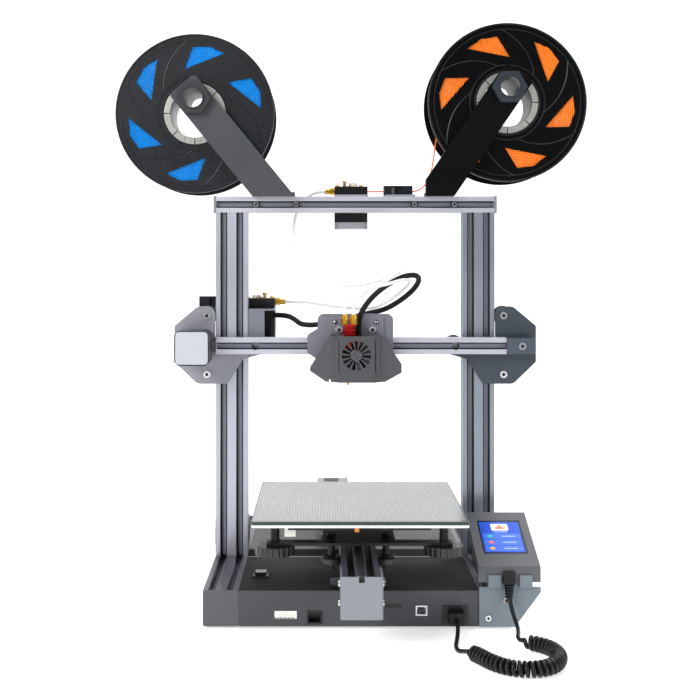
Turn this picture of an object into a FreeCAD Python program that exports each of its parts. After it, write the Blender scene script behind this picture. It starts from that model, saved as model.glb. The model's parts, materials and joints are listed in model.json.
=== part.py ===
"""A desktop filament printer with a moving bed, two feeders and two spools, in millimetres.

X runs to the right, Y from front to back and Z up. The origin is on the surface it stands on,
under the middle of the frame. Every size is a cell of the sheet, and pieces that meet share cells.
"""
import FreeCAD, Part
import math
import os

import Sketcher
from FreeCAD import Rotation, Vector

os.makedirs("parts", exist_ok=True)
doc = FreeCAD.newDocument("filament_printer")
sheet = doc.addObject("Spreadsheet::Sheet", "Sizes")

SIZES = [
    # name, millimetres or degrees, meaning
    ("foot_height", 3, "rubber feet under the base rails"),
    ("foot_length", 30, "each foot along Y"),
    ("foot_width", 22, "each foot along X"),
    ("foot_inset", 14, "from a rail's end to its foot"),
    ("profile_side", 40, "side of the heavy extrusions"),
    ("bar_side", 20, "side of the light extrusions and depth of the uprights"),
    ("slot_mouth", 9.2, "width of a V slot at the face"),
    ("slot_neck", 6.2, "width of a V slot between its lips"),
    ("slot_neck_depth", 1.5, "where the V ends and the neck starts"),
    ("slot_lip", 1.8, "thickness of the lips"),
    ("slot_room", 11, "width of the room behind the lips"),
    ("slot_room_depth", 3.6, "where the room starts to taper"),
    ("slot_floor", 5.8, "width of the slot's floor"),
    ("slot_depth", 6.2, "depth of the whole slot"),
    ("tap_bore", 4.2, "bore in each cell of an extrusion"),
    ("rail_gap", 270, "clear width between the base rails"),
    ("rail_front", -136.5, "front ends of the base rails"),
    ("rail_length", 394, "base rails without their caps"),
    ("cap_thick", 3, "plastic end caps"),
    ("cap_round", 2.5, "corner radius of the end caps"),
    ("sheet_wall", 1.5, "base cover and floor sheet"),
    ("post_front", 22.5, "front plane of the uprights"),
    ("post_height", 431, "uprights above the base"),
    ("bar_cap_rim", 0.6, "how far the top bar's caps stand proud"),
    ("beam_lift", 3, "blocks under the bed beam"),
    ("beam_front", -243, "front end of the bed beam"),
    ("beam_length", 430, "bed beam"),
    ("beam_hollow_width", 8.4, "middle hollow of the bed beam, across"),
    ("beam_hollow_height", 26, "middle hollow of the bed beam, upright"),
    ("bracket_wall", 2, "sheet of the belt bracket at the beam's front"),
    ("bracket_reach", 17.5, "belt bracket in front of the beam"),
    ("bracket_grip", 22, "belt bracket along the beam's sides"),
    ("bracket_rise", 4, "belt bracket above the beam's top"),
    ("bracket_notch", 6, "notch in the belt bracket's front"),
    ("belt_thick", 1.4, "toothed belts"),
    ("belt_width", 6, "toothed belts"),
    ("pulley_radius", 5.35, "belt pulleys and idlers, under the belt"),
    ("pulley_rim", 7.3, "rims of the pulleys"),
    ("belt_slack", 0.3, "belt to pulley"),
    ("belt_lift", 2, "upper run of the bed belt above the beam"),
    ("shaft_radius", 2.5, "motor shafts"),
    ("run_gap", 0.05, "running clearance of a shaft in its bore"),
    ("side_gap", 0.3, "gap beside a turning piece"),
    ("motor_side", 42.3, "square of the stepper motors"),
    ("motor_height", 40, "length of the stepper motors"),
    ("motor_corner", 5, "corner cut of the stepper motors"),
    ("motor_boss", 11, "radius of the pilot boss"),
    ("motor_boss_height", 2, "height of the pilot boss"),
    ("hole_pitch", 31, "spacing of a motor's screws"),
    ("wheel_radius", 12, "V wheels over their rim"),
    ("wheel_rim", 5.8, "flat of the wheel's rim"),
    ("wheel_width", 10, "V wheels"),
    ("wheel_offset", 10.8, "wheel axis from the face it runs on"),
    ("wheel_hub", 8, "radius of the recess for the bearing's face"),
    ("wheel_recess", 1.2, "depth of that recess"),
    ("bolt_radius", 2.5, "wheel bolts"),
    ("bolt_head", 4.6, "radius of the bolt heads"),
    ("bolt_head_height", 2.6, "height of the bolt heads"),
    ("spacer_radius", 4, "spacers between plate and wheel"),
    ("nut_height", 3.6, "nuts behind the wheels"),
    ("beam_height", 307.7, "centre of the gantry beam above the floor"),
    ("gantry_left", -173, "left end of the gantry beam"),
    ("gantry_right", 187, "right end of the gantry beam"),
    ("plate_gap", 0.5, "gantry plate to upright"),
    ("plate_thick", 3, "gantry and carriage plates"),
    ("plate_reach", 36.8, "wheel bolts above and below the beam's centre"),
    ("plate_outer", 226.5, "outer edge of a gantry plate from the middle"),
    ("plate_inner", 112, "inner edge of a gantry plate from the middle"),
    ("plate_round", 10, "corner radius of a gantry plate's lobes"),
    ("motor_out", 198.5, "axis of the carriage motor from the middle"),
    ("idler_out", 206, "axis of the belt idler from the middle"),
    ("tension_end", 222, "right end of the belt tensioner"),
    ("tension_wall", 2, "sheet of the belt tensioner"),
    ("screw_out", 157, "lead screw from the middle"),
    ("screw_behind", 22, "lead screw behind the uprights"),
    ("screw_radius", 4, "lead screw"),
    ("screw_length", 372, "lead screw"),
    ("coupler_radius", 9.5, "shaft coupler"),
    ("coupler_height", 25, "shaft coupler"),
    ("coupler_lift", 3, "coupler above its motor"),
    ("nut_arm_drop", 17.7, "arm of the screw nut under the beam's centre"),
    ("nut_arm_thick", 4, "arm of the screw nut"),
    ("nut_flange", 11, "flange radius of the screw nut"),
    ("nut_barrel", 5.1, "barrel radius of the screw nut"),
    ("shelf_lift", 45.3, "top of the left feeder's shelf above the beam's centre"),
    ("shelf_thick", 2.5, "shelf sheet"),
    ("feeder_left", -123.5, "axis of the left feeder's motor"),
    ("feeder_behind", 32, "axes of the feeder motors behind the uprights"),
    ("feeder_top", -4.5, "axis of the top feeder's motor"),
    ("feeder_height", 12, "feeder block above its plate"),
    ("path_offset", 6.4, "filament line behind a feeder motor's axis"),
    ("drive_gear", 5.5, "drive gear radius"),
    ("fitting_radius", 4.6, "hexagon radius of the tube fittings"),
    ("fitting_length", 12, "tube fittings"),
    ("lever_swing", 9, "depth of a feeder's lever"),
    ("sensor_length", 37, "filament sensor"),
    ("sensor_depth", 20, "filament sensor"),
    ("sensor_height", 14, "filament sensor"),
    ("sensor_reach", 57, "middle of the top sensor from the middle"),
    ("left_sensor_reach", -182.5, "middle of the left sensor"),
    ("arm_width", 41, "spool arms"),
    ("arm_thick", 10, "spool arms"),
    ("arm_gap", 2, "spool arm to the uprights' front plane"),
    ("arm_foot_thick", 5, "foot of a spool arm on the top bar"),
    ("arm_end", 24, "arm beyond the tube's axis"),
    ("arm_round", 6, "corner radius of the arm's end"),
    ("left_lean", 39.35, "degrees that the left arm leans"),
    ("right_lean", 34.5, "degrees that the right arm leans"),
    ("left_foot", -102.2, "middle of the left arm's foot"),
    ("right_foot", 98.6, "middle of the right arm's foot"),
    ("right_cut", 87.9, "upright cut beside the right arm's foot"),
    ("left_tube_lift", 121.3, "left spool tube above the top bar"),
    ("right_tube_lift", 135.2, "right spool tube above the top bar"),
    ("tube_radius", 13.5, "spool tubes"),
    ("tube_bore", 12, "inside of the spool tubes"),
    ("tube_front", 12, "spool tube in front of its arm"),
    ("tube_back", 77, "spool tube behind its arm"),
    ("collar_radius", 17, "collar at the end of a spool tube"),
    ("collar_thick", 5, "collar at the end of a spool tube"),
    ("hex_flats", 38, "nut in front of a spool arm, across its flats"),
    ("hex_height", 10, "nut in front of a spool arm"),
    ("spool_radius", 100, "spool flanges"),
    ("spool_width", 66, "spool over its flanges"),
    ("spool_front", 4, "spool behind its arm"),
    ("flange_thick", 3.5, "spool flanges"),
    ("spool_bore", 30.5, "bore of the spool"),
    ("spool_drum", 45, "drum that the filament is wound on"),
    ("wound_radius", 82, "outside of the wound filament"),
    ("hang_gap", 0.3, "spool bore to tube at the top"),
    ("window_outer", 84, "outer corners of a spool's windows"),
    ("window_inner", 57, "inner corner of a spool's windows"),
    ("bed_side", 235, "glass plate"),
    ("bed_middle", -78.5, "middle of the bed along Y"),
    ("glass_thick", 4, "glass plate"),
    ("heater_thick", 3, "heated plate"),
    ("bed_top", 132.7, "top of the glass above the floor"),
    ("felt_thick", 6, "insulation under the heated plate"),
    ("felt_length", 200, "insulation along Y"),
    ("felt_width", 156, "insulation along X"),
    ("carriage_top", 104, "top of the bed carriage above the floor"),
    ("carriage_thick", 3, "bed carriage plate"),
    ("carriage_width", 80, "bed carriage between its arms"),
    ("screw_pitch_x", 93, "levelling screws from the middle, across"),
    ("screw_pitch_y", 85, "levelling screws from the bed's middle, along Y"),
    ("arm_band", 18, "arms of the bed carriage"),
    ("level_screw", 2, "radius of a levelling screw"),
    ("knob_radius", 22, "levelling knobs"),
    ("knob_height", 10, "levelling knobs"),
    ("spring_radius", 4.5, "springs round the levelling screws"),
    ("spring_wall", 1.2, "wire of those springs"),
    ("bed_wheel_pitch", 55, "bed wheels from the bed's middle, along Y"),
    ("clamp_length", 18, "belt clamp under the bed"),
    ("carriage_gap", 5, "carriage plate in front of the gantry beam"),
    ("wheel_pitch_x", 20.5, "upper carriage wheels from the carriage's middle"),
    ("head_left", -47, "left edge of the carriage plate"),
    ("head_lobe", -59.6, "lobe at the carriage plate's lower left"),
    ("head_right", 46, "right edge of the carriage plate"),
    ("head_top", 40.3, "carriage plate above the beam's centre"),
    ("head_bottom", 32, "carriage plate below the beam's centre"),
    ("bracket_half", 34, "half width of the hot end's bracket"),
    ("hotend_x", -8.5, "hot end from the middle"),
    ("hotend_reach", 52, "nozzle in front of the uprights' front plane"),
    ("sink_width", 16, "heat sink"),
    ("sink_depth", 20, "heat sink"),
    ("sink_top", 28.1, "heat sink above the beam's centre"),
    ("sink_height", 38, "heat sink"),
    ("fin_thick", 1.6, "fins of the heat sink"),
    ("fitting_pitch", 10.8, "between the two tubes of the hot end"),
    ("block_height", 12, "heater block"),
    ("nozzle_tip", 45.7, "nozzle tip below the beam's centre"),
    ("shroud_front", 85, "shroud in front of the uprights' front plane"),
    ("shroud_top", 15.3, "shroud above the beam's centre"),
    ("shroud_bottom", 39.2, "shroud below the beam's centre"),
    ("shroud_wall", 1.6, "shroud"),
    ("fan_radius", 17.5, "fan opening in the shroud"),
    ("fan_hub", 5.4, "middle of the grille"),
    ("fan_drop", 7.1, "fan's axis below the beam's centre"),
    ("screen_tilt", 18.7, "degrees that the screen leans back"),
    ("screen_left", 133.5, "left side of the screen"),
    ("screen_width", 70, "screen housing, across"),
    ("screen_run", 115, "screen housing along Y"),
    ("screen_front", -143.5, "front lip of the screen"),
    ("screen_low", 53.5, "front lip's lower edge above the floor"),
    ("screen_lip", 17.3, "height of the front lip"),
    ("screen_wall", 2.4, "screen housing wall"),
    ("glass_width", 51, "visible glass of the screen"),
    ("glass_length", 72, "visible glass of the screen, up the slope"),
    ("glass_start", 26.7, "glass from the front lip, up the slope"),
    ("tray_wall", 2, "sheet of the screen's bracket"),
    ("tray_left", 144.6, "left tab of the screen's bracket"),
    ("tray_right", 194, "right tab of the screen's bracket"),
    ("tab_width", 14.4, "tabs of the screen's bracket"),
    ("tab_top", 62, "top of those tabs above the floor"),
    ("tab_front", -146, "front of those tabs"),
    ("panel_right", 204, "right edge of the screen bracket's front plate"),
    ("panel_top", 47.7, "top of the screen bracket's front plate"),
    ("board_length", 70, "control board along Y"),
    ("board_left", -98, "left edge of the control board"),
    ("board_right", 126, "right edge of the control board"),
    ("board_thick", 1.6, "control board"),
    ("board_lift", 5, "control board above the floor sheet"),
    ("supply_width", 114, "power supply"),
    ("supply_length", 215, "power supply"),
    ("supply_height", 30, "power supply"),
    ("supply_front", 30, "front of the power supply"),
    ("socket_depth", 13, "sockets behind the front panel"),
    ("socket_proud", 1, "sockets in front of the front panel"),
    ("button_x", -113, "power button"),
    ("button_y", -76.5, "power button"),
    ("button_side", 15.6, "power button"),
    ("button_height", 6, "power button"),
    ("button_travel", 1.5, "travel of the power button"),
    ("lead_radius", 2.4, "screen cord"),
    ("coil_radius", 8.75, "outside radius of the screen cord's coil"),
    ("feed_radius", 2, "feed tubes"),
    ("loom_radius", 3.3, "wiring sleeve of the hot end"),
    ("strand_radius", 0.875, "filament"),
]


class Size:
    """A length that keeps the formula tying it to the sheet's cells."""

    def __init__(self, value, text):
        self.value = value
        self.text = text

    def __float__(self):
        return float(self.value)

    def __add__(self, other):
        return joined(self, "+", other)

    def __radd__(self, other):
        return joined(other, "+", self)

    def __sub__(self, other):
        return joined(self, "-", other)

    def __rsub__(self, other):
        return joined(other, "-", self)

    def __mul__(self, other):
        return joined(self, "*", other)

    def __rmul__(self, other):
        return joined(other, "*", self)

    def __truediv__(self, other):
        return joined(self, "/", other)

    def __neg__(self):
        return Size(-self.value, f"(-1 * {self.text})")


def formula(size):
    """The text that FreeCAD works a size out from."""
    return size.text if isinstance(size, Size) else f"({float(size)!r})"


def joined(left, sign, right):
    """Two sizes joined by an arithmetic sign, as a value and as a formula."""
    a, b = float(left), float(right)
    value = {"+": a + b, "-": a - b, "*": a * b}.get(sign)
    if sign == "/":
        value = a / b
    return Size(value, f"({formula(left)} {sign} {formula(right)})")


def sine(angle):
    """Sine of an angle in degrees."""
    return Size(math.sin(math.radians(float(angle))), f"sin({formula(angle)})")


def cosine(angle):
    """Cosine of an angle in degrees."""
    return Size(math.cos(math.radians(float(angle))), f"cos({formula(angle)})")


def tangent(angle):
    """Tangent of an angle in degrees."""
    return Size(math.tan(math.radians(float(angle))), f"tan({formula(angle)})")


class Cells:
    """The sheet's cells by their aliases."""


S = Cells()
for row, (alias, value, meaning) in enumerate(SIZES, 1):
    sheet.set(f"A{row}", meaning)
    sheet.set(f"B{row}", str(value))
    sheet.setAlias(f"B{row}", alias)
    setattr(S, alias, Size(float(value), f"Sizes.{alias}"))
doc.recompute()

AXES = {"X": Rotation(Vector(0, 1, 0), 90), "Y": Rotation(Vector(1, 0, 0), -90), "Z": Rotation()}
NODES = []


def bind(piece, **sizes):
    """Tie properties of an object to the sheet."""
    for name, size in sizes.items():
        piece.setExpression(name, formula(size))
    return piece


def put(piece, x, y, z):
    """Place an object by three formulas."""
    for letter, size in zip("xyz", (x, y, z)):
        piece.setExpression(f"Placement.Base.{letter}", formula(size))
    return piece


def block(low, high):
    """A box between its lowest and highest corners."""
    piece = doc.addObject("Part::Box", "block")
    sizes = [b - a for a, b in zip(low, high)]
    bind(piece, Length=sizes[0], Width=sizes[1], Height=sizes[2])
    return put(piece, *low)


def rod(axis, base, length, radius):
    """A cylinder from its base point along an axis."""
    piece = doc.addObject("Part::Cylinder", "rod")
    piece.Placement.Rotation = AXES[axis]
    bind(piece, Radius=radius, Height=length)
    return put(piece, *base)


def cone(axis, base, length, radius, end_radius):
    """A cone from its base point along an axis."""
    piece = doc.addObject("Part::Cone", "cone")
    piece.Placement.Rotation = AXES[axis]
    bind(piece, Radius1=radius, Radius2=end_radius, Height=length)
    return put(piece, *base)


def prism(axis, base, length, radius, sides=6):
    """A regular prism from its base point along an axis."""
    piece = doc.addObject("Part::Prism", "prism")
    piece.Polygon = sides
    piece.Placement.Rotation = AXES[axis]
    bind(piece, Circumradius=radius, Height=length)
    return put(piece, *base)


def fuse(*pieces):
    """Pieces joined to one solid."""
    piece = doc.addObject("Part::MultiFuse", "fuse")
    piece.Shapes = list(pieces)
    piece.Refine = True
    return piece


def cut(base, *tools):
    """A piece less the tools."""
    piece = doc.addObject("Part::Cut", "cut")
    piece.Base = base
    piece.Tool = tools[0] if len(tools) == 1 else group(*tools)
    return piece


def common(base, tool):
    """What two pieces share."""
    piece = doc.addObject("Part::Common", "common")
    piece.Base = base
    piece.Tool = tool
    return piece


def group(*pieces):
    """Separate solids held together as one sub-part."""
    piece = doc.addObject("Part::Compound", "group")
    piece.Links = list(pieces)
    return piece


def mirror(source, normal=Vector(1, 0, 0)):
    """A piece mirrored through a plane at the origin."""
    piece = doc.addObject("Part::Mirroring", "mirror")
    piece.Source = source
    piece.Normal = normal
    return piece


def moved(source, x, y, z):
    """A copy of a piece, shifted by three formulas."""
    piece = doc.addObject("Part::Compound", "shifted")
    piece.Links = [source]
    return put(piece, x, y, z)


def named(label, piece):
    """Give a sub-part its name and keep it for the export."""
    piece.Label = label
    NODES.append(piece)
    return piece


PLANES = {"X": "YZ_Plane", "Y": "XZ_Plane", "Z": "XY_Plane"}


def plate(axis, start, end, points, rounds=None, holes=()):
    """A PartDesign body: an outline padded along an axis from start to end.

    The points run in the plane across the axis: (Y, Z) for X, (X, Z) for Y and (X, Y) for Z.
    rounds gives the fillet radius of a point by its number, and holes are (u, v, radius).
    """
    body = doc.addObject("PartDesign::Body", "plate")
    sketch = body.newObject("Sketcher::SketchObject", "outline")
    plane = [p for p in body.Origin.OriginFeatures if p.Role == PLANES[axis]][0]
    sketch.AttachmentSupport = (plane, [""])
    sketch.MapMode = "FlatFace"
    offset = -end if axis == "Y" else start
    sketch.setExpression("AttachmentOffset.Base.z", formula(offset))
    count = len(points)
    flat = [Vector(float(u), float(v), 0) for u, v in points]
    sketch.addGeometry([Part.LineSegment(flat[i], flat[(i + 1) % count]) for i in range(count)])
    for i in range(count):
        sketch.addConstraint(Sketcher.Constraint("Coincident", (i - 1) % count, 2, i, 1))
    for i, point in enumerate(points):
        hold(sketch, i, 1, point)
    for u, v, radius in holes:
        centre = Vector(float(u), float(v), 0)
        ring = sketch.addGeometry(Part.Circle(centre, Vector(0, 0, 1), float(radius)))
        number = sketch.addConstraint(Sketcher.Constraint("Radius", ring, float(radius)))
        sketch.setExpression(f"Constraints[{number}]", formula(radius))
        hold(sketch, ring, 3, (u, v))
    pad = body.newObject("PartDesign::Pad", "pad")
    pad.Profile = sketch
    bind(pad, Length=end - start)
    if rounds:
        doc.recompute()
        by_radius = {}
        for number, radius in rounds.items():
            by_radius.setdefault(formula(radius), []).append(flat[number])
        feature = pad
        for text, corners in by_radius.items():
            feature = fillet(body, feature, axis, corners, text)
    return body


def hold(sketch, number, place, point):
    """Fix a sketch point by its two distances from the origin."""
    for kind, size in zip(("DistanceX", "DistanceY"), point):
        rule = Sketcher.Constraint(kind, -1, 1, number, place, float(size))
        index = sketch.addConstraint(rule)
        if isinstance(size, Size):
            sketch.setExpression(f"Constraints[{index}]", formula(size))


def fillet(body, feature, axis, corners, text):
    """Round the edges along an axis that pass through the given corners."""
    number = "XYZ".index(axis)
    across = [i for i in range(3) if i != number]
    names = []
    for index, edge in enumerate(feature.Shape.Edges, 1):
        a, b = edge.Vertexes[0].Point, edge.Vertexes[-1].Point
        if abs(a[across[0]] - b[across[0]]) + abs(a[across[1]] - b[across[1]]) > 1e-6:
            continue
        if any(abs(a[across[0]] - c.x) + abs(a[across[1]] - c.y) < 1e-5 for c in corners):
            names.append(f"Edge{index}")
    round_off = body.newObject("PartDesign::Fillet", "round_off")
    round_off.Base = (feature, names)
    round_off.setExpression("Radius", text)
    doc.recompute()
    return round_off


def frame_points(low, high):
    """The four corners of a rectangle between two points."""
    return [low, (high[0], low[1]), high, (low[0], high[1])]


def slot_points(middle, face, inward, along_u):
    """The twelve points of a V slot in a face, from the low side to the high side."""
    half = [
        (S.slot_mouth / 2, 0),
        (S.slot_neck / 2, S.slot_neck_depth),
        (S.slot_neck / 2, S.slot_lip),
        (S.slot_room / 2, S.slot_lip),
        (S.slot_room / 2, S.slot_room_depth),
        (S.slot_floor / 2, S.slot_depth),
    ]
    low = [(middle - a, face + d * inward) for a, d in half]
    high = [(middle + a, face + d * inward) for a, d in reversed(half)]
    points = low + high
    return points if along_u else [(b, a) for a, b in points]


def extrusion(axis, low, high, cells_u, cells_v, start, end):
    """A V-slot bar: its outline runs round the four sides with a slot in each cell."""
    pitch_u = (high[0] - low[0]) / cells_u
    pitch_v = (high[1] - low[1]) / cells_v
    points = [low]
    for cell in range(cells_u):
        points += slot_points(low[0] + pitch_u * (cell + 0.5), low[1], 1, True)
    points.append((high[0], low[1]))
    for cell in range(cells_v):
        points += slot_points(low[1] + pitch_v * (cell + 0.5), high[0], -1, False)
    points.append(high)
    for cell in reversed(range(cells_u)):
        points += reversed(slot_points(low[0] + pitch_u * (cell + 0.5), high[1], -1, True))
    points.append((low[0], high[1]))
    for cell in reversed(range(cells_v)):
        points += reversed(slot_points(low[1] + pitch_v * (cell + 0.5), low[0], 1, False))
    bores = [
        (low[0] + pitch_u * (i + 0.5), low[1] + pitch_v * (j + 0.5), S.tap_bore / 2)
        for i in range(cells_u)
        for j in range(cells_v)
    ]
    return plate(axis, start, end, points, holes=bores)


def spot(axis, u, v, along):
    """A point given across and along an axis."""
    return {"X": (along, u, v), "Y": (u, along, v), "Z": (u, v, along)}[axis]


def stack(axis, u, v, *steps):
    """One turned solid: rods on one axis, each from a to b with its radius."""
    return fuse(*[rod(axis, spot(axis, u, v, a), b - a, radius) for a, b, radius in steps])


def ring(axis, u, v, start, end, radius, bore):
    """A tube from start to end along an axis."""
    outer = rod(axis, spot(axis, u, v, start), end - start, radius)
    inner = rod(axis, spot(axis, u, v, start - 1), end - start + 2, bore)
    return cut(outer, inner)


# Places that several pieces share

base_top = S.foot_height + S.profile_side
rail_in = S.rail_gap / 2
rail_out = rail_in + S.profile_side
rail_back = S.rail_front + S.rail_length
panel_front = S.rail_front - S.cap_thick
panel_back = rail_back + S.cap_thick
post_back = S.post_front + S.bar_side
post_middle = S.post_front + S.bar_side / 2
bar_low = base_top + S.post_height
bar_top = bar_low + S.bar_side
plate_back = S.post_front - S.plate_gap
plate_front = plate_back - S.plate_thick
beam_face = plate_front - S.bar_side
beam_middle = plate_front - S.bar_side / 2
beam_low = S.beam_height - S.bar_side / 2
beam_high = S.beam_height + S.bar_side / 2

# Base: two rails with plastic end caps

rail = extrusion("Y", (rail_in, S.foot_height), (rail_out, base_top), 2, 2, S.rail_front, rail_back)


def rail_cap(start):
    """A rounded end cap of a base rail."""
    points = frame_points((rail_in, S.foot_height), (rail_out, base_top))
    rounds = {number: S.cap_round for number in range(4)}
    return plate("Y", start, start + S.cap_thick, points, rounds)


right_rail = group(rail, rail_cap(panel_front), rail_cap(rail_back))
named("base_rails", group(right_rail, mirror(right_rail)))

# Base: floor sheet and four rubber feet under the rails

floor_top = S.foot_height + S.sheet_wall
floor_sheet = block(
    (-rail_in, panel_front + S.sheet_wall, S.foot_height),
    (rail_in, panel_back - S.sheet_wall, floor_top),
)
feet = []
foot_x = rail_in + (S.profile_side - S.foot_width) / 2
for foot_y in (S.rail_front + S.foot_inset, rail_back - S.foot_inset - S.foot_length):
    low = (foot_x, foot_y, 0)
    feet.append(block(low, (foot_x + S.foot_width, foot_y + S.foot_length, S.foot_height)))
right_feet = group(*feet)
named("base_floor", group(floor_sheet, right_feet, mirror(right_feet)))

# Base: sockets behind the front panel, each (left, right, bottom, top) above the feet

SOCKETS = {
    "eight_pin": (-94.4, -69.5, 8.8, 17.4),
    "data": (-58, -41, 3, 17.4),
    "card": (31, 48, 20.9, 24.1),
    "usb": (63.8, 77, 12.2, 23.6),
    "screen": (93.7, 121.9, 3, 23.6),
}
board_front = panel_front + S.socket_depth


def socket_block(name, front, back):
    """The outside of a socket between two planes across Y."""
    left, right, bottom, top = SOCKETS[name]
    return block(
        (Size(left, f"({left})"), front, S.foot_height + bottom),
        (Size(right, f"({right})"), back, S.foot_height + top),
    )


# Base: folded steel cover, with its front and rear panels

cover_top = block((-rail_in, panel_front, base_top - S.sheet_wall), (rail_in, panel_back, base_top))
cover_front = block(
    (-rail_in, panel_front, S.foot_height), (rail_in, panel_front + S.sheet_wall, base_top)
)
cover_rear = block(
    (-rail_in, panel_back - S.sheet_wall, S.foot_height), (rail_in, panel_back, base_top)
)
panel_holes = [
    socket_block(name, panel_front - 1, panel_front + S.sheet_wall + 1) for name in SOCKETS
]
switch_half = S.button_side / 2 + S.sheet_wall
switch_hole = block(
    (S.button_x - switch_half, S.button_y - switch_half, base_top - S.sheet_wall - 1),
    (S.button_x + switch_half, S.button_y + switch_half, base_top + 1),
)
cover = fuse(cover_top, cover_front, cover_rear)
named("base_cover", cut(cover, *panel_holes, switch_hole))

# Base: control board with its chips, and the sockets along its front edge

board_low = floor_top + S.board_lift
board_high = board_low + S.board_thick
board = block(
    (S.board_left, board_front, board_low),
    (S.board_right, board_front + S.board_length, board_high),
)
board_parts = [board]
post_inset, board_post_radius, chip_inset = 8, 3, 25
for x in (S.board_left + post_inset, S.board_right - post_inset):
    for y in (board_front + post_inset, board_front + S.board_length - post_inset):
        board_parts.append(rod("Z", (x, y, floor_top), S.board_lift, board_post_radius))
chip_front = board_front + chip_inset
# Each chip's distance from the board's left edge, its depth, width and height
CHIPS = ((38, 30, 24, 4), (108, 34, 20, 3), (168, 28, 30, 9))
for offset, depth, width, rise in CHIPS:
    low = (S.board_left + offset, chip_front, board_high)
    board_parts.append(block(low, (low[0] + width, low[1] + depth, board_high + rise)))
socket_front = panel_front - S.socket_proud
pocket_wall = 1.6
shells = []
for name in SOCKETS:
    shell = socket_block(name, socket_front, board_front)
    left, right, bottom, top = SOCKETS[name]
    if name in ("usb", "data"):
        pocket = block(
            (left + pocket_wall, socket_front - 1, S.foot_height + (bottom + pocket_wall)),
            (right - pocket_wall, board_front - pocket_wall, S.foot_height + (top - pocket_wall)),
        )
        shell = cut(shell, pocket)
    shells.append(shell)
named("front_sockets", group(*shells))

# Base: indicator lamp and power switch on the board, and the power supply behind it

lamp_x, lamp_z, lamp_radius = 58.2, 22.6, 1
lamp_base = (lamp_x, panel_front + S.sheet_wall, S.foot_height + lamp_z)
board_parts.append(rod("Y", lamp_base, S.socket_depth - S.sheet_wall, lamp_radius))
lamp_foot_half = 1.5
lamp_foot = block(
    (lamp_x - lamp_foot_half, board_front - lamp_foot_half, board_high),
    (lamp_x + lamp_foot_half, board_front, S.foot_height + (lamp_z - lamp_radius)),
)
board_parts.append(lamp_foot)
switch_depth, switch_lip, room_depth = 16, 2.2, 4
stem_radius, stem_depth, bore_depth = 2.5, 8, 10
switch_low = base_top - S.sheet_wall - switch_depth
switch_shell = block(
    (S.button_x - switch_half, S.button_y - switch_half, switch_low),
    (S.button_x + switch_half, S.button_y + switch_half, base_top + switch_lip),
)
button_room = S.button_side / 2 + S.side_gap
switch_room = block(
    (S.button_x - button_room, S.button_y - button_room, base_top - room_depth),
    (S.button_x + button_room, S.button_y + button_room, base_top + switch_lip + 1),
)
switch_bore = rod(
    "Z", (S.button_x, S.button_y, base_top - bore_depth), bore_depth - room_depth + 2,
    stem_radius + S.run_gap,
)
board_parts.append(cut(switch_shell, fuse(switch_room, switch_bore)))
supply_high = floor_top + S.supply_height
supply = block(
    (-S.supply_width / 2, S.supply_front, floor_top),
    (S.supply_width / 2, S.supply_front + S.supply_length, supply_high),
)
terminal_inset, terminal_reach = 4, 12
terminals = block(
    (-S.supply_width / 2 + terminal_inset, S.supply_front - terminal_reach, floor_top),
    (S.supply_width / 2 - terminal_inset, S.supply_front, floor_top + S.supply_height / 2),
)
named("base_electronics", group(*board_parts, fuse(supply, terminals)))

# Base: power button, a square pad on a stem that slides in its switch

button_foot = base_top - room_depth + S.button_travel + S.side_gap
button_half = S.button_side / 2
pad_step, crown_share = 1.5, 0.6
pad_low = block(
    (S.button_x - button_half, S.button_y - button_half, button_foot),
    (S.button_x + button_half, S.button_y + button_half, base_top + pad_step),
)
pad_crown = prism(
    "Z", (S.button_x, S.button_y, base_top + pad_step), S.button_height - pad_step,
    S.button_side * crown_share, 4,
)
pad_crown.Placement.Rotation = Rotation(Vector(0, 0, 1), 45)
stem = rod(
    "Z", (S.button_x, S.button_y, base_top - stem_depth),
    stem_depth - room_depth + S.button_travel + 1, stem_radius,
)
named("power_button", fuse(pad_low, pad_crown, stem))

# Bed beam: heavy extrusion on two blocks, with a middle hollow for the belt's return run

beam_bottom = base_top + S.beam_lift
beam_top = beam_bottom + S.profile_side
beam_back = S.beam_front + S.beam_length
half_beam = S.profile_side / 2
hollow_low = beam_bottom + (S.profile_side - S.beam_hollow_height) / 2


def belt_hollow(start, end):
    """The middle hollow of the bed beam between two planes across Y."""
    return block(
        (-S.beam_hollow_width / 2, start, hollow_low),
        (S.beam_hollow_width / 2, end, hollow_low + S.beam_hollow_height),
    )


bed_beam = extrusion("Y", (-half_beam, beam_bottom), (half_beam, beam_top), 2, 2, S.beam_front, beam_back)
supports = [
    block((-half_beam - 12, y, base_top), (half_beam + 12, y + 24, beam_bottom))
    for y in (panel_front + 20, beam_back - 60)
]
hollow_beam = cut(bed_beam, belt_hollow(S.beam_front - 1, beam_back + 1))
named("bed_beam", group(hollow_beam, *supports))

# Uprights and the top bar with its end caps and slot screws

upright = extrusion("Z", (rail_in, S.post_front), (rail_out, post_back), 2, 1, base_top, bar_low)
named("uprights", group(upright, mirror(upright)))

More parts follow.
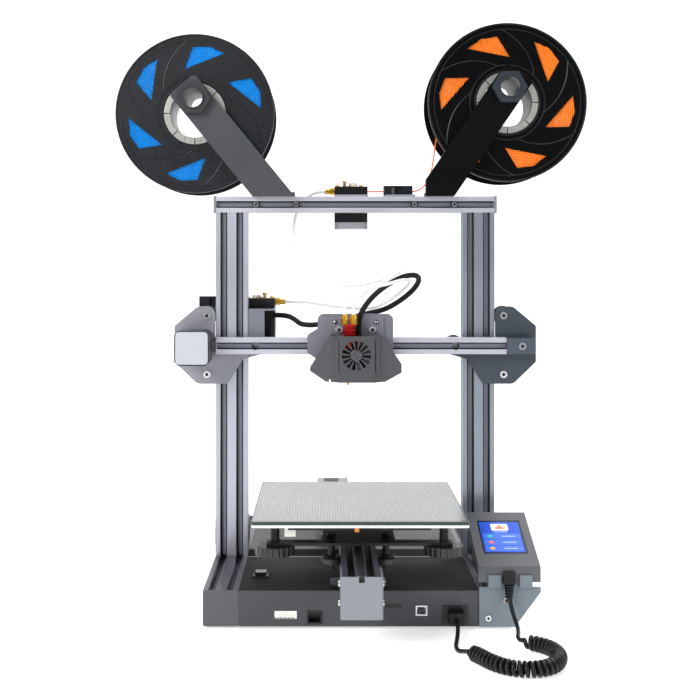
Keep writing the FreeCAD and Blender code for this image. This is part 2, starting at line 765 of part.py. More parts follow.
top_bar = extrusion("X", (S.post_front, bar_low), (post_back, bar_top), 1, 1, -rail_out, rail_out)
cap_points = frame_points(
    (S.post_front - S.bar_cap_rim, bar_low - S.bar_cap_rim),
    (post_back + S.bar_cap_rim, bar_top + S.bar_cap_rim),
)
bar_cap = plate("X", rail_out, rail_out + S.cap_thick, cap_points, {n: S.cap_round for n in range(4)})
slot_screws = []
for x in (74.4, 124.6):
    middle = bar_low + S.bar_side / 2
    slot_screws.append(
        stack(
            "Y",
            x,
            middle,
            (S.post_front - 0.8, S.post_front + S.slot_neck_depth, 3),
            (S.post_front + S.slot_neck_depth, S.post_front + S.slot_room_depth, 2),
            (S.post_front + S.slot_lip, S.post_front + S.slot_room_depth, 4.5),
        )
    )
right_end = group(bar_cap, *slot_screws)
named("top_bar", group(top_bar, right_end, mirror(right_end)))

# Stepper motors: a square body with cut corners, a pilot boss and a shaft


def motor(axis, u, v, face, facing, shaft_length):
    """A motor whose mounting face is at a place along its axis; facing is the shaft's way."""
    half = S.motor_side / 2
    c = S.motor_corner
    points = [
        (u - half + c, v - half), (u + half - c, v - half), (u + half, v - half + c),
        (u + half, v + half - c), (u + half - c, v + half), (u - half + c, v + half),
        (u - half, v + half - c), (u - half, v - half + c),
    ]
    tail = face - S.motor_height * facing
    boss_end = face + S.motor_boss_height * facing
    shaft_end = face + shaft_length * facing
    if facing > 0:
        body = plate(axis, tail, face, points)
        steps = ((face, boss_end, S.motor_boss), (face, shaft_end, S.shaft_radius))
        return fuse(body, stack(axis, u, v, *steps))
    body = plate(axis, face, tail, points)
    return fuse(body, stack(axis, u, v, (boss_end, face, S.motor_boss), (shaft_end, face, S.shaft_radius)))


feeder_y = post_back + S.feeder_behind
shelf_top = S.beam_height + S.shelf_lift
shelf_low = shelf_top - S.shelf_thick
screw_y = post_back + S.screw_behind
lift_motor_top = base_top + S.motor_height
coupler_low = lift_motor_top + S.coupler_lift
belt_radius = S.pulley_radius + S.belt_slack
belt_run = belt_radius + S.belt_thick / 2
bed_belt_z = beam_top + S.belt_lift + S.belt_thick / 2 - belt_run
end_plate_back = beam_back + S.plate_thick
bed_pulley_y = end_plate_back + S.motor_side / 2 + S.plate_gap
pulley_half = S.belt_width / 2 + 1.5
motor_plate_right = -pulley_half - 1.5
feeder_shaft = 14
lift_motor = motor("Z", -S.screw_out, screw_y, lift_motor_top, 1, S.coupler_lift + 12)
bed_motor = motor(
    "X", bed_pulley_y, bed_belt_z, motor_plate_right - S.plate_thick, 1,
    S.plate_thick + 1.5 + pulley_half * 2,
)
top_feeder_motor = motor("Z", S.feeder_top, feeder_y, bar_top, 1, feeder_shaft)
named("frame_motors", group(lift_motor, bed_motor, top_feeder_motor))

# Belt brackets of the bed: a folded strip with the idler in front, a motor plate behind

strip_front = S.beam_front - S.bracket_reach
strip_back = S.beam_front + S.bracket_grip
strip_half = half_beam + S.bracket_wall
strip_top = beam_top + S.bracket_rise
strip = plate(
    "Z", beam_bottom, strip_top,
    [
        (-strip_half, strip_back), (-strip_half, strip_front), (strip_half, strip_front),
        (strip_half, strip_back), (half_beam, strip_back), (half_beam, strip_front + S.bracket_wall),
        (-half_beam, strip_front + S.bracket_wall), (-half_beam, strip_back),
    ],
    {1: 3, 2: 3},
)
notch = block(
    (-S.bracket_notch / 2, strip_front - 1, strip_top - S.bracket_notch),
    (S.bracket_notch / 2, strip_front + S.bracket_wall + 1, strip_top + 1),
)
idler_y = (strip_front + S.bracket_wall + S.beam_front) / 2
bracket_screws = []
for side in (-1, 1):
    for level in (0.25, 0.75):
        z = beam_bottom + S.profile_side * level
        face = strip_half if side > 0 else -strip_half - 2
        bracket_screws.append(rod("X", (face, strip_back - S.bracket_grip / 2, z), 2, 3.2))
axle = rod("X", (-strip_half, idler_y, bed_belt_z), strip_half * 2, S.bolt_radius)
idler_bore = rod("X", (-strip_half - 1, idler_y, bed_belt_z), strip_half * 2 + 2, S.bolt_radius)
strip_cut = cut(strip, notch, idler_bore)


def roller(axis, u, v, middle):
    """A belt roller with two rims."""
    half = S.belt_width / 2 + S.side_gap
    core = rod(axis, spot(axis, u, v, middle - half), half * 2, S.pulley_radius)
    rims = [
        rod(axis, spot(axis, u, v, middle - half - 1), 1, S.pulley_rim),
        rod(axis, spot(axis, u, v, middle + half), 1, S.pulley_rim),
    ]
    reach = half + 2
    bore = rod(axis, spot(axis, u, v, middle - reach), reach * 2, S.bolt_radius + S.run_gap)
    return cut(fuse(core, *rims), bore)


end_plate = cut(
    block((-half_beam, beam_back, beam_bottom), (half_beam, end_plate_back, beam_top)),
    belt_hollow(beam_back - 1, end_plate_back + 1),
)
side_plate = block(
    (motor_plate_right - S.plate_thick, beam_back, bed_belt_z - S.motor_side / 2),
    (motor_plate_right, bed_pulley_y + S.motor_side / 2, bed_belt_z + S.motor_side / 2),
)
boss_hole = rod(
    "X", (motor_plate_right - S.plate_thick - 1, bed_pulley_y, bed_belt_z), S.plate_thick + 2,
    S.motor_boss,
)
motor_plate = cut(fuse(end_plate, side_plate), boss_hole)
named(
    "belt_brackets",
    group(strip_cut, axle, roller("X", idler_y, bed_belt_z, 0), motor_plate, *bracket_screws),
)

# Bed belt and its drive pulley


def belt(axis, low_u, high_u, v, middle):
    """A closed belt round two rollers that lie along u; the belt is centred on middle."""
    loops = []
    reach = S.belt_width / 2
    for radius in (belt_radius + S.belt_thick, belt_radius):
        ends = [rod(axis, spot(axis, u, v, middle - reach), reach * 2, radius) for u in (low_u, high_u)]
        low = spot(axis, low_u, v - radius, middle - reach)
        high = spot(axis, high_u, v + radius, middle + reach)
        loops.append(fuse(*ends, block(low, high)))
    return cut(*loops)


zero = Size(0, "(0)")
named("bed_belt", belt("X", idler_y, bed_pulley_y, bed_belt_z, zero))
named("bed_pulley", roller("X", bed_pulley_y, bed_belt_z, zero))

# Lead screw with its coupler, turning on the lift motor's shaft

coupler = rod("Z", (-S.screw_out, screw_y, coupler_low), S.coupler_height, S.coupler_radius)
screw_low = coupler_low + S.coupler_height / 2 + 2
lift_screw = rod("Z", (-S.screw_out, screw_y, screw_low), S.screw_length, S.screw_radius)
shaft_bore = rod(
    "Z", (-S.screw_out, screw_y, coupler_low - 1), S.coupler_height / 2 + 1.5,
    S.shaft_radius + S.run_gap,
)
named("lead_screw", cut(fuse(coupler, lift_screw), shaft_bore))

# Gantry beam, drilled where the inner wheel bolts are reached

outer_wheel_x = rail_out + S.wheel_offset
inner_wheel_x = rail_in - S.wheel_offset
gantry_bar = extrusion(
    "X", (beam_face, beam_low), (plate_front, beam_high), 1, 1, S.gantry_left, S.gantry_right
)
access = [
    rod("Y", (x, beam_face - 1, S.beam_height), S.bar_side + 2, S.bolt_head + 0.3)
    for x in (-inner_wheel_x, inner_wheel_x)
]
named("gantry_beam", cut(gantry_bar, *access))

# V wheels: a convex rim that runs in a slot, bored for its bolt


def wheel(axis, u, v, middle):
    """A V wheel; its flanks fall away at 45 degrees from the rim."""
    half_rim = S.wheel_rim / 2
    half = S.wheel_width / 2
    shoulder = S.wheel_radius - (half - half_rim)
    flank = half - half_rim
    core = rod(axis, spot(axis, u, v, middle - half_rim), S.wheel_rim, S.wheel_radius)
    low = cone(axis, spot(axis, u, v, middle - half), flank, shoulder, S.wheel_radius)
    high = cone(axis, spot(axis, u, v, middle + half_rim), flank, S.wheel_radius, shoulder)
    tools = [
        rod(axis, spot(axis, u, v, middle - half - 1), S.wheel_width + 2, S.bolt_radius + S.run_gap),
        ring(axis, u, v, middle - half - 1, middle - half + S.wheel_recess, S.wheel_hub, 4.6),
        ring(axis, u, v, middle + half - S.wheel_recess, middle + half + 1, S.wheel_hub, 4.6),
    ]
    return cut(fuse(core, low, high), *tools)


def wheel_bolt(axis, u, v, head, seat, back, wheel_middle, upward=True):
    """A bolt through a plate, a spacer, a wheel and its nut, as one turned solid."""
    way = 1 if upward else -1
    near = wheel_middle - (S.wheel_width / 2 + S.side_gap) * way
    far = wheel_middle + (S.wheel_width / 2 + S.side_gap) * way
    tip = far + S.nut_height * way
    steps = [(head, seat, S.bolt_head), (seat, far, S.bolt_radius)]
    steps += [(back, near, S.spacer_radius), (far, tip, S.bolt_head)]
    if not upward:
        steps = [(b, a, radius) for a, b, radius in steps]
    return stack(axis, u, v, *steps)


# Gantry plates with their wheel bolts, the screw nut's arm and the belt tensioner

reach = S.plate_reach
plate_outline = [
    (rail_out + 0.5, S.beam_height + reach + 11.5),
    (outer_wheel_x + 11.7, S.beam_height + reach + 11.5),
    (S.plate_outer, S.beam_height + 24),
    (S.plate_outer, S.beam_height - 21.2),
    (outer_wheel_x + 12.2, S.beam_height - reach - 11.9),
    (rail_in + 25, S.beam_height - reach - 11.9),
    (rail_in + 5.5, S.beam_height - 17.7),
    (S.plate_inner, S.beam_height - 10),
    (S.plate_inner, S.beam_height + 10),
    (rail_out + 0.5, S.beam_height + 10),
]
plate_rounds = {0: S.plate_round, 1: S.plate_round, 4: S.plate_round, 5: 5, 2: 3, 3: 3}
wheel_spots = [
    ("outer_top", outer_wheel_x, S.beam_height + reach),
    ("outer_low", outer_wheel_x, S.beam_height - reach),
    ("inner", inner_wheel_x, S.beam_height),
]
bolt_holes = [(x, z, S.bolt_radius) for _, x, z in wheel_spots]
gantry_plate = plate("Y", plate_front, plate_back, plate_outline, plate_rounds, bolt_holes)
gantry_bolts = [
    wheel_bolt("Y", x, z, plate_front - S.bolt_head_height, plate_front, plate_back, post_middle)
    for _, x, z in wheel_spots
]
right_side = group(gantry_plate, *gantry_bolts)

nut_arm_top = S.beam_height - S.nut_arm_drop
nut_arm_low = nut_arm_top - S.nut_arm_thick
arm_side = rail_out + 3
arm_outer = arm_side + 22
nut_reach = S.nut_flange + 2
nut_arm = plate(
    "Z", nut_arm_low, nut_arm_top,
    [
        (-arm_outer, plate_back), (-arm_side, plate_back), (-arm_side, screw_y - nut_reach),
        (-S.screw_out + nut_reach, screw_y - nut_reach),
        (-S.screw_out + nut_reach, screw_y + nut_reach), (-arm_outer, screw_y + nut_reach),
    ],
    holes=[(-S.screw_out, screw_y, S.nut_barrel)],
)
nut_body = stack(
    "Z", -S.screw_out, screw_y,
    (nut_arm_low - 6, nut_arm_top, S.nut_barrel), (nut_arm_top, nut_arm_top + 3.5, S.nut_flange),
)
nut_bore = rod("Z", (-S.screw_out, screw_y, nut_arm_low - 8), 20, S.screw_radius + S.run_gap)
lift_nut = cut(nut_body, nut_bore)

tension_half = S.pulley_rim + S.tension_wall + 0.6
tension_front = beam_face - S.tension_wall
tension_face = plate(
    "Y", tension_front, beam_face,
    frame_points(
        (S.gantry_right, S.beam_height - tension_half), (S.tension_end, S.beam_height + tension_half)
    ),
    {0: 3, 3: 3},
    [(S.idler_out, S.beam_height, S.bolt_radius)],
)
tension_walls = [
    block(
        (S.gantry_right, beam_face, S.beam_height + offset),
        (S.tension_end, plate_front, S.beam_height + offset + S.tension_wall),
    )
    for offset in (-tension_half, tension_half - S.tension_wall)
]
idler_bolt = stack(
    "Y", S.idler_out, S.beam_height,
    (tension_front - 2, tension_front, S.bolt_head), (tension_front, plate_front, S.bolt_radius),
)
tensioner = fuse(tension_face, *tension_walls)
idler = roller("Y", S.idler_out, S.beam_height, beam_middle)
named(
    "gantry_plates",
    group(right_side, mirror(right_side), nut_arm, lift_nut, tensioner, idler_bolt, idler),
)

for side, sign in (("left", -1), ("right", 1)):
    for spot_name, x, z in wheel_spots:
        named(f"gantry_wheel_{side}_{spot_name}", wheel("Y", sign * x, z, post_middle))

# Motors on the gantry: the carriage motor on four standoffs, the feeder motor under its shelf

half_pitch = S.hole_pitch / 2
carriage_motor = motor("Y", -S.motor_out, S.beam_height, beam_face, 1, S.bar_side - 2)
standoffs = [
    rod("Y", (-S.motor_out + dx * half_pitch, beam_face, S.beam_height + dz * half_pitch), S.bar_side, 3)
    for dx in (-1, 1)
    for dz in (-1, 1)
]
left_feeder_motor = motor("Z", S.feeder_left, feeder_y, shelf_low, 1, feeder_shaft)
named("gantry_motors", group(carriage_motor, left_feeder_motor, *standoffs))

named("carriage_belt", belt("Y", -S.motor_out, S.idler_out, S.beam_height, beam_middle))
named("carriage_pulley", roller("Y", -S.motor_out, S.beam_height, beam_middle))

# Feeders: a block round the drive gear, a tube fitting, and a lever that presses the filament


def feeder(x, shelf, way):
    """The fixed parts of a feeder on its shelf and its lever; the tube leaves along way times X."""
    half = S.motor_side / 2
    low = shelf + 2
    high = shelf + S.feeder_height
    path_y = feeder_y + S.path_offset
    path_z = shelf + S.feeder_height / 2 + 1
    guide_far = x + half * way
    guide_near = x + (half - 8.5) * way
    ends = (guide_near, guide_far) if way > 0 else (guide_far, guide_near)
    base = block((x - half, feeder_y - half, shelf), (x + half, feeder_y + half, low))
    wall = block((x - half, feeder_y - half, low), (x + half, feeder_y - 8, high))
    guide = block((ends[0], feeder_y - 8, low), (ends[1], feeder_y + 8.5, high))
    tools = [
        rod("Z", (x, feeder_y, shelf - 1), 4, S.drive_gear + 1.5),
        rod("Z", (x, feeder_y, low), high - low + 1, S.drive_gear + 2),
        rod("X", (x - half - 1, path_y, path_z), S.motor_side + 2, 1.2),
    ]
    pin_x = x + half_pitch * way
    pin_y = feeder_y + half_pitch
    pin = rod("Z", (pin_x, pin_y, low), high - low + 2, 2)
    body = fuse(cut(fuse(base, wall, guide), *tools), pin)
    gear = ring("Z", x, feeder_y, low + 1, high - 1, S.drive_gear, S.shaft_radius)
    fitting_start = guide_far if way > 0 else guide_far - S.fitting_length
    collar = rod("X", (fitting_start, path_y, path_z), S.fitting_length, S.fitting_radius - 1.2)
    hexagon_start = guide_far if way > 0 else guide_far - S.fitting_length / 2
    hexagon = prism("X", (hexagon_start, path_y, path_z), S.fitting_length / 2, S.fitting_radius)
    fitting = fuse(collar, hexagon)
    tube_bore = rod("X", (fitting_start - 1, path_y, path_z), S.fitting_length + 2, S.strand_radius + 0.3)
    fixed = [body, gear, cut(fitting, tube_bore)]
    lever_y = feeder_y + 10
    lever_low, lever_high = low + S.side_gap, high - S.side_gap
    bar = block((x - half, lever_y, lever_low), (x + half, lever_y + S.lever_swing, lever_high))
    bearing_y = path_y + S.strand_radius + S.side_gap + S.drive_gear
    bearing = rod("Z", (x, bearing_y, lever_low), lever_high - lever_low, S.drive_gear)
    pivot = rod("Z", (pin_x, pin_y, low - 1), high - low + 2, 2 + S.run_gap)
    return fixed, cut(fuse(bar, bearing), pivot)


def sensor(x, low):
    """A filament sensor: a box with a lid step, a window and a bore along its length."""
    path_y = feeder_y + S.path_offset
    half = S.sensor_length / 2
    path_z = low + S.sensor_height / 2
    box = block(
        (x - half, path_y - S.sensor_depth / 2, low),
        (x + half, path_y + S.sensor_depth / 2, low + S.sensor_height),
    )
    window = block(
        (x - 5, path_y - S.sensor_depth / 2 - 1, low + 1.5),
        (x + 5, path_y - S.sensor_depth / 2 + 4, low + S.sensor_height - 1.5),
    )
    bore = rod("X", (x - half - 1, path_y, path_z), S.sensor_length + 2, S.strand_radius + 0.3)
    return cut(box, window, bore)


left_fixed, left_lever = feeder(S.feeder_left, shelf_top, 1)
shelf_left = S.left_sensor_reach - S.sensor_length / 2 - 1
shelf_right = S.feeder_left + S.motor_side / 2
shelf_inner = -rail_in + 1
shelf_back = feeder_y + S.motor_side / 2
sensor_front = feeder_y + S.path_offset - S.sensor_depth / 2
shelf = plate(
    "Z", shelf_low, shelf_top,
    [
        (shelf_inner, plate_back), (shelf_right, plate_back), (shelf_right, shelf_back),
        (shelf_left, shelf_back), (shelf_left, sensor_front),
        (S.feeder_left - S.motor_side / 2 - 1, sensor_front),
        (S.feeder_left - S.motor_side / 2 - 1, post_back + 3.5), (shelf_inner, post_back + 3.5),
    ],
    holes=[(S.feeder_left, feeder_y, S.motor_boss)],
)
flange = plate(
    "Y", plate_back, plate_back + S.shelf_thick,
    frame_points((shelf_inner, beam_low), (-S.plate_inner - 2, shelf_low)),
    holes=[(-inner_wheel_x, S.beam_height, S.spacer_radius)],
)
left_sensor = sensor(S.left_sensor_reach, shelf_top)
named("left_feeder", group(fuse(shelf, flange), left_sensor, *left_fixed))
named("left_feeder_lever", left_lever)

top_shelf = bar_top + S.shelf_thick
top_fixed, top_lever = feeder(S.feeder_top, top_shelf, -1)
top_plate = plate(
    "Z", bar_top, top_shelf,
    frame_points(
        (S.feeder_top - S.motor_side / 2, S.post_front),
        (S.feeder_top + S.motor_side / 2, feeder_y + S.motor_side / 2),
    ),
    holes=[(S.feeder_top, feeder_y, S.motor_boss)],
)
named("top_feeder", group(top_plate, *top_fixed))
named("top_feeder_lever", top_lever)

sensor_seat = top_shelf + S.feeder_height / 2 + 1 - S.sensor_height / 2
sensor_back = feeder_y + S.path_offset + S.sensor_depth / 2
sensor_rest = block(
    (S.sensor_reach - S.sensor_length / 2, S.post_front, bar_top),
    (S.sensor_reach + S.sensor_length / 2, sensor_back, sensor_seat),
)
named("runout_sensor", group(sensor_rest, sensor(S.sensor_reach, sensor_seat)))

# Spool arms: a leaning strip with a foot on the top bar

arm_back = S.post_front - S.arm_gap
arm_front = arm_back - S.arm_thick
half_arm = S.arm_width / 2


def spool_place(foot, lift, lean, way):
    """Where a spool tube's axis is: up along the arm from the middle of its foot."""
    return foot + lift * tangent(lean) * way, bar_top + lift


def spool_arm(foot, lift, lean, way, left_cut=None):
    """A strip that leans to one side, bored for its tube, with a foot over the bar."""
    x, z = spool_place(foot, lift, lean, way)
    run_x, run_z = sine(lean) * way, cosine(lean)
    end_x, end_z = x + run_x * S.arm_end, z + run_z * S.arm_end
    skew = half_arm / cosine(lean)
    side_x, side_z = half_arm * run_z, half_arm * run_x
    points = [
        (foot + skew, bar_top),
        (end_x + side_x, end_z - side_z),
        (end_x - side_x, end_z + side_z),
    ]
    foot_left = foot - skew
    if left_cut is None:
        points.append((foot_left, bar_top))
    else:
        points.append((left_cut, bar_top + (left_cut - foot_left) / tangent(lean)))
        points.append((left_cut, bar_top))
        foot_left = left_cut
    strip = plate(
        "Y", arm_front, arm_back, points, {1: S.arm_round, 2: S.arm_round}, [(x, z, S.tube_radius)]
    )
    base = block((foot_left, arm_front, bar_top), (foot + skew, post_back, bar_top + S.arm_foot_thick))
    return fuse(strip, base)


left_arm = (S.left_foot, S.left_tube_lift, S.left_lean, -1)
right_arm = (S.right_foot, S.right_tube_lift, S.right_lean, 1)
named("spool_arms", group(spool_arm(*left_arm), spool_arm(*right_arm, left_cut=S.right_cut)))

# Spool tubes, each with a collar behind and a hexagon nut in front of its arm


def spool_tube(x, z):
    """A hollow tube through the arm, with its nut and its collar."""
    start = arm_front - S.tube_front
    end = arm_back + S.tube_back
    tube = fuse(
        rod("Y", (x, start, z), end - start, S.tube_radius),
        rod("Y", (x, end - S.collar_thick, z), S.collar_thick, S.collar_radius),
    )
    bore = rod("Y", (x, start - 1, z), end - start + 2, S.tube_bore)
    corner = S.hex_flats / 2 / cosine(30)
    nut = prism("Y", (x, arm_front - S.hex_height, z), S.hex_height, corner)
    thread = rod("Y", (x, arm_front - S.hex_height - 1, z), S.hex_height + 2, S.tube_radius)
    return group(cut(tube, bore), cut(nut, thread))


left_axis = spool_place(*left_arm)
right_axis = spool_place(*right_arm)
named("spool_tubes", group(spool_tube(*left_axis), spool_tube(*right_axis)))

# Spools: two windowed flanges on a drum, with the filament wound between them

hang = S.spool_bore - S.tube_radius - S.hang_gap
spool_start = arm_back + S.spool_front
spool_end = spool_start + S.spool_width
wound_start = spool_start + S.flange_thick
wound_end = spool_end - S.flange_thick


def polar(x, z, radius, angle):
    """A point at an angle round a centre."""
    return x + radius * cosine(angle), z + radius * sine(angle)


def spool(axis_place, way, start_angle):
    """A spool that hangs on its tube; the windows swirl one way or the other."""
    x, z = axis_place[0], axis_place[1] - hang
    solids = [
        rod("Y", (x, spool_start, z), S.flange_thick, S.spool_radius),
        rod("Y", (x, wound_end, z), S.flange_thick, S.spool_radius),
        rod("Y", (x, spool_start, z), S.spool_width, S.spool_drum),
    ]
    tools = [rod("Y", (x, spool_start - 1, z), S.spool_width + 2, S.spool_bore)]
    for index in range(6):
        first = start_angle - 60 * index * way
        corners = [
            polar(x, z, S.window_outer, first),
            polar(x, z, S.window_outer + 2.5, first - 14 * way),
            polar(x, z, S.window_outer, first - 28 * way),
            polar(x, z, S.window_inner, first + 12 * way),
        ]
        tools.append(plate("Y", spool_start - 1, spool_end + 1, corners))
    drum_keep = ring("Y", x, z, spool_start, spool_end, S.spool_drum, S.spool_bore)
    body = fuse(cut(fuse(*solids), *tools), drum_keep)
    wound = ring("Y", x, z, wound_start, wound_end, S.wound_radius, S.spool_drum)
    return group(body, wound)


named("spool_left", spool(left_axis, 1, 92))
named("spool_right", spool(right_axis, -1, 98.6))

# Bed: glass, heated plate with its insulation, levelling screws and springs

half_bed = S.bed_side / 2
glass_low = S.bed_top - S.glass_thick
heater_low = glass_low - S.heater_thick
bed_front, bed_end = S.bed_middle - half_bed, S.bed_middle + half_bed
glass_points = frame_points((-half_bed, bed_front), (half_bed, bed_end))
named("bed_glass", plate("Z", glass_low, S.bed_top, glass_points, {n: 3 for n in range(4)}))

carriage_low = S.carriage_top - S.carriage_thick
knob_top = carriage_low - S.side_gap
knob_low = knob_top - S.knob_height
corner_spots = [
    (dx * S.screw_pitch_x, S.bed_middle + dy * S.screw_pitch_y) for dy in (-1, 1) for dx in (-1, 1)
]
heater = plate("Z", heater_low, glass_low, glass_points, {n: 3 for n in range(4)})
felt = block(
    (-S.felt_width / 2, S.bed_middle - S.felt_length / 2, heater_low - S.felt_thick),
    (S.felt_width / 2, S.bed_middle + S.felt_length / 2, heater_low),
)
bed_parts = [heater, felt]
for x, y in corner_spots:
    bed_parts.append(rod("Z", (x, y, knob_low - 2), heater_low - knob_low + 2, S.level_screw))
    bed_parts.append(
        ring("Z", x, y, S.carriage_top, heater_low, S.spring_radius, S.spring_radius - S.spring_wall)
    )
named("heated_plate", group(*bed_parts))

# Bed carriage: an H plate on four V wheels, with the belt clamp under it

plate_half = S.carriage_width / 2
arm_half = S.screw_pitch_x + S.arm_band / 2
band_near = S.screw_pitch_y - S.arm_band / 2
band_far = S.screw_pitch_y + S.arm_band / 2
h_points = []
for dx, dy in ((-1, -1), (1, -1), (1, 1), (-1, 1)):
    corner = [
        (dx * arm_half, S.bed_middle + dy * band_far),
        (dx * arm_half, S.bed_middle + dy * band_near),
        (dx * plate_half, S.bed_middle + dy * band_near),
    ]
    h_points += corner if dx * dy < 0 else reversed(corner)
h_points = h_points[1:] + h_points[:1]
screw_holes = [(x, y, S.level_screw + 0.2) for x, y in corner_spots]
bed_wheel_x = half_beam + S.wheel_offset
bed_wheel_z = beam_bottom + S.profile_side * 0.75
bed_wheel_spots = [
    (f"{row}_{side}", dx * bed_wheel_x, S.bed_middle + dy * S.bed_wheel_pitch)
    for row, dy in (("front", -1), ("back", 1))
    for side, dx in (("left", -1), ("right", 1))
]
wheel_holes = [(x, y, S.bolt_radius) for _, x, y in bed_wheel_spots]
carriage_plate = plate("Z", carriage_low, S.carriage_top, h_points, holes=screw_holes + wheel_holes)
bed_bolts = [
    wheel_bolt(
        "Z", x, y, S.carriage_top + S.bolt_head_height, S.carriage_top, carriage_low, bed_wheel_z, False
    )
    for _, x, y in bed_wheel_spots
]
belt_top = bed_belt_z + belt_radius + S.belt_thick
clamp = block(
    (-S.belt_width, S.bed_middle - S.clamp_length / 2, belt_top + S.side_gap),
    (S.belt_width, S.bed_middle + S.clamp_length / 2, carriage_low),
)
named("bed_carriage", group(fuse(carriage_plate, clamp), *bed_bolts))
for spot_name, x, y in bed_wheel_spots:
    named(f"bed_wheel_{spot_name}", wheel("Z", x, y, bed_wheel_z))

# Levelling knobs: scalloped discs that turn on the levelling screws

knob_disc = rod("Z", (0, 0, knob_low), S.knob_height, S.knob_radius)
knob_tools = [rod("Z", (0, 0, knob_low - 1), S.knob_height + 2, S.level_screw + S.run_gap)]
for index in range(20):
    x, y = polar(zero, zero, S.knob_radius + 1.2, Size(18 * index, f"({18 * index})"))
    knob_tools.append(rod("Z", (x, y, knob_low - 1), S.knob_height + 2, 2.2))
knob = cut(knob_disc, *knob_tools)
for (x, y), spot_name in zip(corner_spots, ("front_left", "front_right", "back_left", "back_right")):
    named(f"knob_{spot_name}", moved(knob, x, y, 0))

# Carriage plate with the hot end's bracket, three wheel bolts and two belt grips

head_back = beam_face - S.carriage_gap
head_front = head_back - S.plate_thick
bracket_front = head_front - S.plate_thick
head_lift = S.bar_side / 2 + S.wheel_offset
head_wheels = [
    ("left", -S.wheel_pitch_x, S.beam_height + head_lift),
    ("right", S.wheel_pitch_x, S.beam_height + head_lift),
    ("low", zero, S.beam_height - head_lift),
]
head_holes = [(x, z, S.bolt_radius) for _, x, z in head_wheels]
head_points = [
    (S.head_right, S.beam_height - S.head_bottom),
    (S.head_right, S.beam_height + S.head_top),
    (S.head_left, S.beam_height + S.head_top),
    (S.head_left, S.beam_height + 22),
    (S.head_lobe, S.beam_height + 14.3),
    (S.head_lobe, S.beam_height - 7.7),
    (S.head_left, S.beam_height - 16),
    (S.head_left, S.beam_height - S.head_bottom),
]
head_rounds = {0: 8, 1: 8, 2: 8, 7: 8, 4: 4, 5: 4}
head_plate = plate("Y", head_front, head_back, head_points, head_rounds, head_holes)
bracket = plate(
    "Y", bracket_front, head_front,
    frame_points(
        (-S.bracket_half, S.beam_height - S.head_bottom - 4), (S.bracket_half, S.beam_height + S.head_top)
    ),
    {2: 4, 3: 4},
    head_holes,
)
belt_up = belt_radius + S.belt_thick
grips = []
for x in (-S.bracket_half - 5.5, S.bracket_half + 0.5):
    over = block(
        (x, head_back, beam_high + 0.5), (x + 5, beam_middle + S.belt_width / 2 - 0.5, beam_high + 3)
    )
    down = block(
        (x, beam_middle - S.belt_width / 2 + 0.5, S.beam_height + belt_up + S.side_gap),
        (x + 5, beam_middle + S.belt_width / 2 - 0.5, beam_high + 0.5),
    )
    grips += [over, down]
head_bolts = [
    wheel_bolt("Y", x, z, bracket_front - S.bolt_head_height, bracket_front, head_back, beam_middle)
    for _, x, z in head_wheels
]
small_screws = [
    rod("Y", (x, bracket_front - 2, S.beam_height + 30.3), 2, 2.6)
    for x in (-S.bracket_half + 8.5, S.bracket_half - 8.5)
]
named("carriage_plate", group(fuse(head_plate, *grips), bracket, *head_bolts, *small_screws))
for spot_name, x, z in head_wheels:
    named(f"carriage_wheel_{spot_name}", wheel("Y", x, z, beam_middle))

# Hot end: finned heat sink with two tube fittings, heat break, heater block and nozzle

hotend_y = S.post_front - S.hotend_reach
sink_high = S.beam_height + S.sink_top
sink_low = sink_high - S.sink_height
sink_left, sink_right = S.hotend_x - S.sink_width / 2, S.hotend_x + S.sink_width / 2
sink_front, sink_back = hotend_y - S.sink_depth / 2, hotend_y + S.sink_depth / 2
fins = []
fin_count = 8
fin_pitch = (S.sink_height - S.fin_thick) / (fin_count - 1)
for index in range(fin_count):
    z = sink_low + fin_pitch * index
    fins.append(block((sink_left, sink_front, z), (sink_right, sink_back, z + S.fin_thick)))
sink_core = block((sink_left + 3.5, sink_front + 4, sink_low), (sink_right - 3.5, sink_back, sink_high))
mount_inset = 1.2
sink_mount = block(
    (sink_left + mount_inset, sink_back, sink_low + 3),
    (sink_right - mount_inset, bracket_front, sink_high - 4),
)
tube_spots = (S.hotend_x - S.fitting_pitch / 2, S.hotend_x + S.fitting_pitch / 2)
top_fittings = []
fitting_bores = []
fitting_top = sink_high + S.fitting_length
for x in tube_spots:
    top_fittings.append(rod("Z", (x, hotend_y, sink_high), S.fitting_length, S.fitting_radius - 1.2))
    top_fittings.append(prism("Z", (x, hotend_y, sink_high), S.fitting_length / 2, S.fitting_radius))
    fitting_bores.append(rod("Z", (x, hotend_y, sink_high + 1), S.fitting_length, S.strand_radius + 0.3))
loom_x, loom_y, loom_start = sink_right + 3.7, hotend_y + 11, sink_high - 14.3
loom_clip = block(
    (sink_right, loom_y - 3.7, loom_start - 10), (loom_x + 3.7, loom_y + 3.7, loom_start)
)
sink = cut(fuse(sink_core, sink_mount, *fins, *top_fittings, loom_clip), *fitting_bores)
tip_z = S.beam_height - S.nozzle_tip
block_low = tip_z + 10
block_high = block_low + S.block_height
nozzle_x = S.hotend_x - 1.5
heater_block = block((nozzle_x - 10, hotend_y - 8, block_low), (nozzle_x + 10, hotend_y + 8, block_high))
heat_break = rod("Z", (S.hotend_x, hotend_y, block_high), sink_low - block_high, 2)
cartridge = rod("Y", (nozzle_x - 4.5, hotend_y - 11, block_low + 4), 3, 2.9)
nozzle_hex = prism("Z", (nozzle_x, hotend_y, tip_z + 5), 5, 3.9)
nozzle_cone = cone("Z", (nozzle_x, hotend_y, tip_z), 5, 0.6, 2.6)
named("hotend", group(sink, fuse(heater_block, heat_break, cartridge, nozzle_hex, nozzle_cone)))

# Shroud: a faceted box open above, below and behind, with the fan's grille in front


